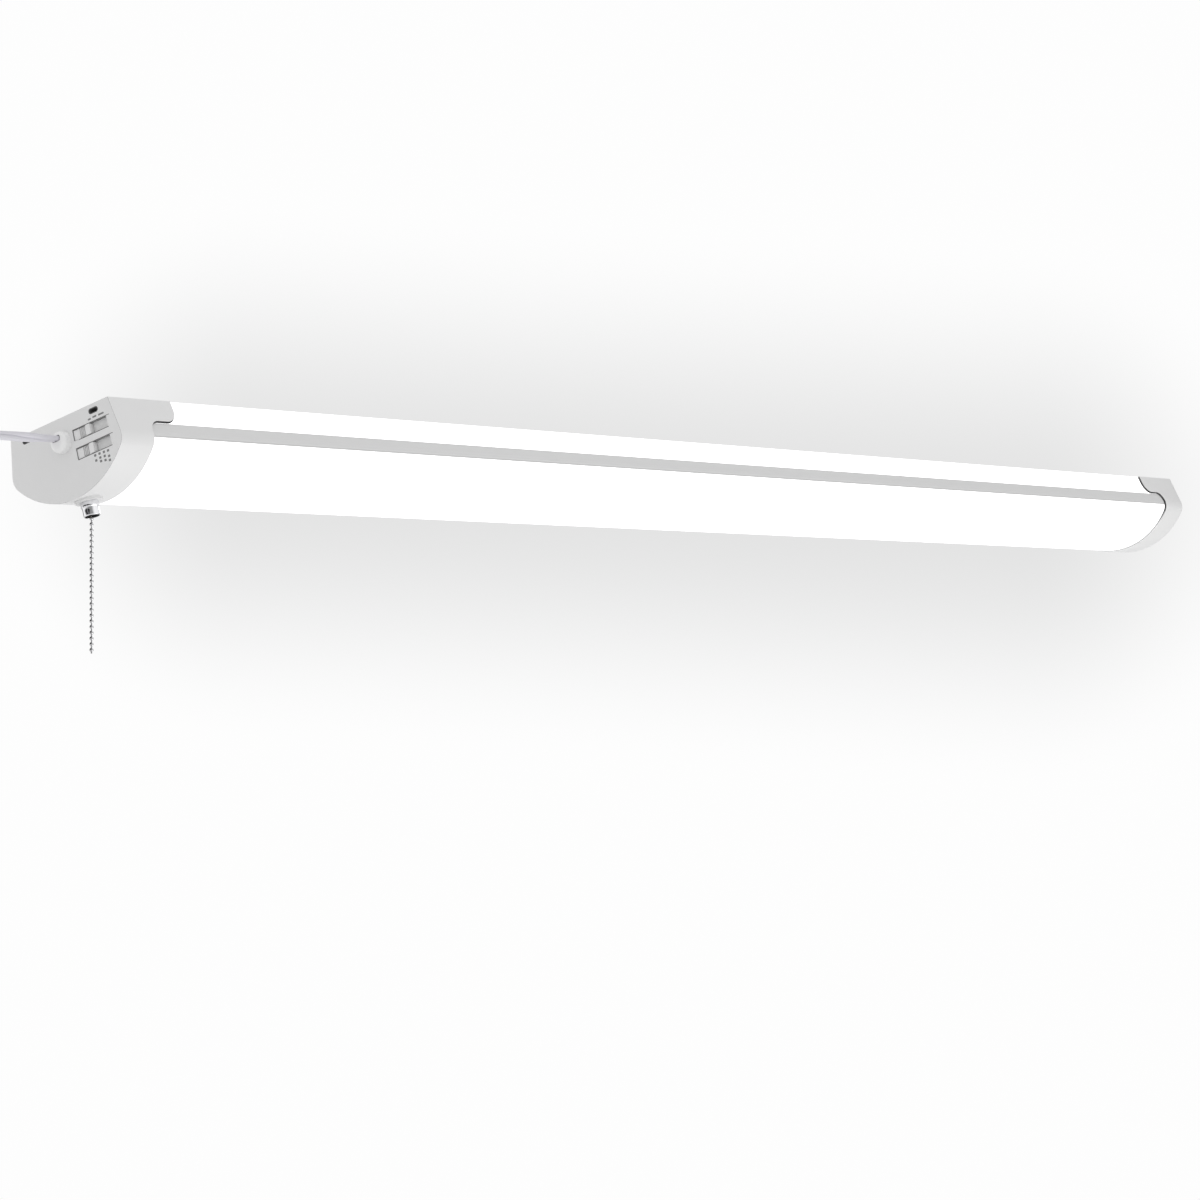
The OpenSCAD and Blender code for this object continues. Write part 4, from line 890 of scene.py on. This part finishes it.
def screwMesh(length):
    bm = bmesh.new()
    a, w = screw["arm"], screw["armHalf"]
    cross = []
    for quarter in range(4):
        turn = Matrix.Rotation(quarter * math.pi / 2, 2)
        cross += [turn @ Vector(point) for point in ((a, -w), (a, w), (w, w))]
    crossEdges = loopEdges(bm, [bm.verts.new((x, y, 0)) for x, y in cross])
    head, shank, edge = screw["headRadius"], screw["shankRadius"], screw["headEdge"]
    segments = screw["headSegments"]
    rim = bmesh.ops.create_circle(bm, cap_ends=False, segments=segments, radius=head - edge)["verts"]
    rimEdges = list({link for vert in rim for link in vert.link_edges})
    bmesh.ops.bridge_loops(bm, edges=crossEdges + rimEdges)
    outside = [(head, -edge), (head, -2 * edge), (shank, shank - head), (shank, screw["tip"] - length),
               (shank * screw["tipRadius"], -length)]
    for edges, rings in ((rimEdges, outside), (crossEdges, [(None, -screw["recess"])])):
        for radius, z in rings:
            edges, verts = growRing(bm, edges)
            for vert in verts:
                flat = Vector(vert.co.xy)
                flat = flat * screw["recessFloor"] if radius is None else flat.normalized() * radius
                vert.co = (flat.x, flat.y, z)
        bmesh.ops.contextual_create(bm, geom=edges)
    bmesh.ops.recalc_face_normals(bm, faces=bm.faces)
    return bm


def makeScrews(node, name, count, length):
    low, high = [Vector(corner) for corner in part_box(node)]
    edge = screw["headRadius"]
    bm = bmesh.new()
    places = []
    for i in range(count):
        for y in (low.y + edge, high.y - edge):
            x = low.x + edge + (high.x - low.x - 2 * edge) * i / (count - 1)
            turn = Matrix.Rotation(screw["turns"][0] * i + screw["turns"][1] * y, 4, "Z")
            places.append(Matrix.Translation((x, y, high.z)) @ turn)
    addCopies(bm, screwMesh(length * mm), places)
    addPiece(bm, name, "fixture", finishes["steel"], (node,), sharpAngle=40)


for row in screw["rows"]:
    makeScrews(*row)
print("screws made")


# plug: moulded grip with side grooves and a ribbed neck
plug = {
    "x": -0.750,
    "y": 3.1 * mm,
    "top": -0.1756,
    "neck": 20 * mm,
    "body": 26 * mm,
    "squareness": 3.4,           # power of the outline up to squareTo; it is 2, a round one, at roundFrom
    "squareTo": 15, "roundFrom": 26.6,
    # half width across the blades, half thickness and height above the blades' face, in mm
    "rings": [
        (11.2, 4.8, 0), (12.2, 5.7, 0.6), (12.5, 6.0, 1.6),
        (12.5, 6.0, 5.0), (12.4, 5.5, 5.5), (12.4, 5.5, 6.3), (12.5, 6.0, 6.8),
        (12.5, 6.0, 8.0), (12.4, 5.5, 8.5), (12.4, 5.5, 9.3), (12.5, 6.0, 9.8),
        (12.5, 6.0, 13.5), (11.6, 5.9, 16.0), (9.6, 5.5, 20.0),
        (7.6, 5.1, 24.0), (6.2, 4.9, 25.6), (5.2, 5.0, 26.6),
    ],
    "ribs": 5,
    "ribFoot": 28.0, "ribPitch": 3.2, "ribWidth": 1.6, "ribSlope": 0.3,
    "ribRoot": 4.85, "ribCrest": 5.6,
    "ribTaper": (0.26, 0.3),     # how much root and crest lose from rib to rib
    "neckEnd": [(3.6, 45.4), (3.1, 46)],
    "segments": 48,
}


def squareRound(angle, width, depth, power):
    c, s = math.cos(angle), math.sin(angle)
    return (math.copysign(abs(c) ** (2 / power), c) * width, math.copysign(abs(s) ** (2 / power), s) * depth)


def plugRings():
    fade = plug["roundFrom"] - plug["squareTo"]
    rings = [(width, depth, z, 2 + (plug["squareness"] - 2) * min(1, (plug["roundFrom"] - z) / fade))
             for width, depth, z in plug["rings"]]
    slope, width = plug["ribSlope"], plug["ribWidth"]
    for i in range(plug["ribs"]):
        foot = plug["ribFoot"] + i * plug["ribPitch"]
        root, crest = plug["ribRoot"] - plug["ribTaper"][0] * i, plug["ribCrest"] - plug["ribTaper"][1] * i
        profile = ((root, 0), (crest, slope), (crest, width - slope), (root, width))
        rings += [(r, r, foot + rise, 2) for r, rise in profile]
    return rings + [(r, r, z, 2) for r, z in plug["neckEnd"]]


def makePlug():
    bm = bmesh.new()
    circle = bmesh.ops.create_circle(bm, cap_ends=True, segments=plug["segments"], radius=1)["verts"]
    edges = list({edge for vert in circle for edge in vert.link_edges})
    angles = {vert: math.atan2(vert.co.y, vert.co.x) for vert in circle}
    for number, (width, depth, z, power) in enumerate(plugRings()):
        if number:
            edges, verts = growRing(bm, edges)
            nextTo = {vert: [edge.other_vert(vert) for edge in vert.link_edges] for vert in verts}
            angles = {vert: next(angles[near] for near in nextTo[vert] if near in angles) for vert in verts}
        for vert, angle in angles.items():
            vert.co = (*squareRound(angle, depth * mm, width * mm, power), z * mm)
    bmesh.ops.contextual_create(bm, geom=edges)
    bmesh.ops.recalc_face_normals(bm, faces=bm.faces)
    foot = plug["top"] - plug["neck"] - plug["body"]
    bmesh.ops.translate(bm, verts=bm.verts, vec=(plug["x"], plug["y"], foot))
    return addPiece(bm, "plugBody", "fixture", cordMaterial, ("plug_body",), sharpAngle=50)


plugBody = makePlug()
print("plug made")


# plain switch marks printed on the end face: bars over the upper switch, dashes under the lower one
marks = {
    "face": -0.6095,
    "proud": 0.03,
    "upper": [(-22.0, -24.4, -7.9), (-25.8, -29.0, -7.6), (-30.4, -34.9, -7.7)],
    "upperHeight": 0.95,
    "lower": [(-22.0, (-28.9, -31.9)), (-25.5, (-28.9, -31.3, -33.4)), (-29.0, (-29.1, -31.5, -33.9)),
              (-32.3, (-29.3, -32.5, -34.9))],
    "lowerSize": (1.7, 1.35),
    "corner": 0.3,
}


# the windows' long edges are chamfered; thin dark bars along them are painted shadow: middle z, and where
# each line ends
windowEdgeShades = {
    "line": 0.36,
    "corner": 0.45,              # share of the line's height
    "lines": [(-9.78, -8.6, -38.6), (-16.42, -12.5, -36.6), (-20.68, -8.6, -38.6), (-27.32, -8.6, -36.6)],
}


def makeBars(name, bars, look, corner):
    bm = bmesh.new()
    for y, z, width, height in bars:
        place = Matrix.Translation((marks["face"], y * mm, z * mm))
        cube = bmesh.ops.create_cube(bm, size=1, matrix=place @ Matrix.Diagonal(
            (2 * marks["proud"] * mm, width * mm, height * mm, 1)))["verts"]
        corners = [e for v in cube for e in v.link_edges if abs(e.verts[0].co.x - e.verts[1].co.x) > 1e-6]
        bmesh.ops.bevel(bm, geom=list(set(corners)), offset=corner * mm, affect="EDGES", segments=4,
                        profile=0.5, material=-1)
    addPiece(bm, name, "fixture", finishes[look])


bars = [((a + b) / 2, z, abs(a - b), marks["upperHeight"]) for a, b, z in marks["upper"]]
bars += [(y, z, *marks["lowerSize"]) for y, heights in marks["lower"] for z in heights]
makeBars("switchMarks", bars, "ink", marks["corner"])
bars = [((a + b) / 2, z, abs(a - b), windowEdgeShades["line"]) for z, a, b in windowEdgeShades["lines"]]
corner = windowEdgeShades["line"] * windowEdgeShades["corner"]
makeBars("windowEdgeShades", bars, "window_line", corner)
print("marks made")


# studio: pale backdrop with a soft grey halo of painted shade, dark cards for the chrome to mirror, and a
# light from below
studio = {
    "ambient": 0.845,
    "backdrop": 0.985,
    # painted shade on the backdrop round the light: its darkest tone
    "halo": 0.765,
    "haloCentre": (0.0090, 0.0273),  # right and up of the view's middle, as slopes
    "haloTilt": -3.27,
    "haloHalf": 0.100,
    "haloReach": 0.0702,
    # directions that small mirrored forms find dark: right, up and towards the camera, and how far it reaches
    "darkCards": [((-0.60, 0.75, 0.27), 0.55, 0.70), ((0.76, -0.60, 0.20), 0.84, 0.92)],
    "darkTone": 0.04,
    # where a mirrored direction turns from away from the camera to towards it, and how bright it is there
    "cards": [(0.0, 0.9), (0.10, 0.9), (0.14, 0.06), (0.22, 0.05), (0.27, 0.95), (0.80, 1.0), (0.90, 0.7),
              (0.955, 0.32), (1.0, 0.28)],
    "floorZ": -1.8,
    "floorHalf": 14,
    "lightPlace": (0.1, -0.45, -1.6),
    "lightTarget": (-0.2, 0, 0),
    "lightSize": 1.4,
    "lightPower": 10,
}


def dotWith(tree, vector, direction):
    node = addNode(tree, "ShaderNodeVectorMath", operation="DOT_PRODUCT")
    tree.links.new(vector, node.inputs[0])
    node.inputs[1].default_value = direction
    return node.outputs["Value"]


# what the camera sees behind the light: a pale backdrop with a soft grey halo of painted shade round the
# light
def backdropShade(tree, aim, eye):
    tilt = math.radians(studio["haloTilt"])
    right, up = eye.col[0], eye.col[1]
    along, across = right * math.cos(tilt) + up * math.sin(tilt), up * math.cos(tilt) - right * math.sin(tilt)
    slopes = addNode(tree, "ShaderNodeCombineXYZ")
    for slot, (axis, half) in enumerate(((along, studio["haloHalf"]), (across, 0))):
        centre = Vector((*studio["haloCentre"], 0)).dot(Vector((axis.dot(right), axis.dot(up), 0)))
        value = dotWith(tree, aim, axis)
        steps = (("SUBTRACT", centre), ("ABSOLUTE", 0), ("SUBTRACT", half), ("MAXIMUM", 0),
                 ("DIVIDE", studio["haloReach"]))
        for operation, number in steps:
            step = addNode(tree, "ShaderNodeMath", operation=operation)
            step.inputs[1].default_value = number
            tree.links.new(value, step.inputs[0])
            value = step.outputs[0]
        tree.links.new(value, slopes.inputs[slot])
    far = addNode(tree, "ShaderNodeVectorMath", operation="LENGTH")
    tree.links.new(slopes.outputs[0], far.inputs[0])
    fade = addNode(tree, "ShaderNodeMapRange", interpolation_type="SMOOTHSTEP")
    fade.inputs["To Min"].default_value = studio["halo"]
    fade.inputs["To Max"].default_value = studio["backdrop"]
    tree.links.new(far.outputs["Value"], fade.inputs["Value"])
    seen = addNode(tree, "ShaderNodeBackground")
    tree.links.new(fade.outputs["Result"], seen.inputs["Color"])
    return seen


# what glossy surfaces mirror: cards in rings round the camera's level line, less the two dark ones
def mirroredShade(tree, aim, eye):
    level = eye.col[2].copy()
    level.z = 0
    towards = addNode(tree, "ShaderNodeMapRange")
    towards.inputs["From Min"].default_value = -1
    tree.links.new(dotWith(tree, aim, level.normalized()), towards.inputs["Value"])
    cards = addNode(tree, "ShaderNodeValToRGB")
    ramp = cards.color_ramp.elements
    for place, tone in studio["cards"][1:-1]:
        ramp.new(place).color = (tone, tone, tone, 1)
    for end in (0, -1):
        place, tone = studio["cards"][end]
        ramp[end].position = place
        ramp[end].color = (tone, tone, tone, 1)
    tree.links.new(towards.outputs["Result"], cards.inputs["Fac"])
    mirrored = addNode(tree, "ShaderNodeBackground")
    tree.links.new(cards.outputs["Color"], mirrored.inputs["Color"])
    strength = None
    for direction, start, full in studio["darkCards"]:
        card = addNode(tree, "ShaderNodeMapRange", interpolation_type="SMOOTHSTEP")
        card.inputs["From Min"].default_value = start
        card.inputs["From Max"].default_value = full
        card.inputs["To Min"].default_value = 1
        card.inputs["To Max"].default_value = studio["darkTone"]
        tree.links.new(dotWith(tree, aim, (eye @ Vector(direction)).normalized()), card.inputs["Value"])
        both = addNode(tree, "ShaderNodeMath", operation="MULTIPLY")
        both.inputs[0].default_value = 1
        tree.links.new(card.outputs["Result"], both.inputs[1])
        if strength:
            tree.links.new(strength, both.inputs[0])
        strength = both.outputs[0]
    tree.links.new(strength, mirrored.inputs["Strength"])
    return mirrored


def makeWorld():
    world = bpy.data.worlds.new("studio")
    world.use_nodes = True
    scene.world = world
    tree = world.node_tree
    ambient = tree.nodes["Background"]
    ambient.inputs["Color"].default_value = (1, 1, 1, 1)
    ambient.inputs["Strength"].default_value = studio["ambient"]
    aim = addNode(tree, "ShaderNodeTexCoord").outputs["Generated"]
    rays = addNode(tree, "ShaderNodeLightPath")
    eye = scene.camera.matrix_world.to_3x3()
    surface = ambient.outputs[0]
    for ray, makeShade in (("Is Glossy Ray", mirroredShade), ("Is Camera Ray", backdropShade)):
        mix = addNode(tree, "ShaderNodeMixShader")
        tree.links.new(rays.outputs[ray], mix.inputs[0])
        tree.links.new(surface, mix.inputs[1])
        tree.links.new(makeShade(tree, aim, eye).outputs[0], mix.inputs[2])
        surface = mix.outputs[0]
    tree.links.new(surface, tree.nodes["World Output"].inputs["Surface"])


def makeFloor():
    bm = bmesh.new()
    bmesh.ops.create_grid(bm, x_segments=4, y_segments=4, size=studio["floorHalf"])
    bmesh.ops.translate(bm, verts=bm.verts, vec=(0, 0, studio["floorZ"]))
    mesh = bpy.data.meshes.new("floor")
    bm.to_mesh(mesh)
    bm.free()
    floor = bpy.data.objects.new("floor", mesh)
    scene.collection.objects.link(floor)
    material, tree, shader = grainedMaterial("paleFloor", grey(0.86), 0.8, 30, 0.2 * mm)
    side = addNode(tree, "ShaderNodeNewGeometry")
    clear = addNode(tree, "ShaderNodeBsdfTransparent")
    mix = addNode(tree, "ShaderNodeMixShader")               # seen from below, the floor isn't there
    tree.links.new(side.outputs["Backfacing"], mix.inputs[0])
    tree.links.new(shader.outputs[0], mix.inputs[1])
    tree.links.new(clear.outputs[0], mix.inputs[2])
    tree.links.new(mix.outputs[0], tree.nodes["Material Output"].inputs["Surface"])
    mesh.materials.append(material)


def addLight(name, place, target, size, power):
    data = bpy.data.lights.new(name, "AREA")
    data.shape = "DISK"
    data.size = size
    data.energy = power
    light = bpy.data.objects.new(name, data)
    scene.collection.objects.link(light)
    light.location = place
    light.rotation_euler = (Vector(target) - Vector(place)).to_track_quat("-Z", "Y").to_euler()


makeWorld()
makeFloor()
addLight("underLight", studio["lightPlace"], studio["lightTarget"], studio["lightSize"], studio["lightPower"])
print("stage and lights set")
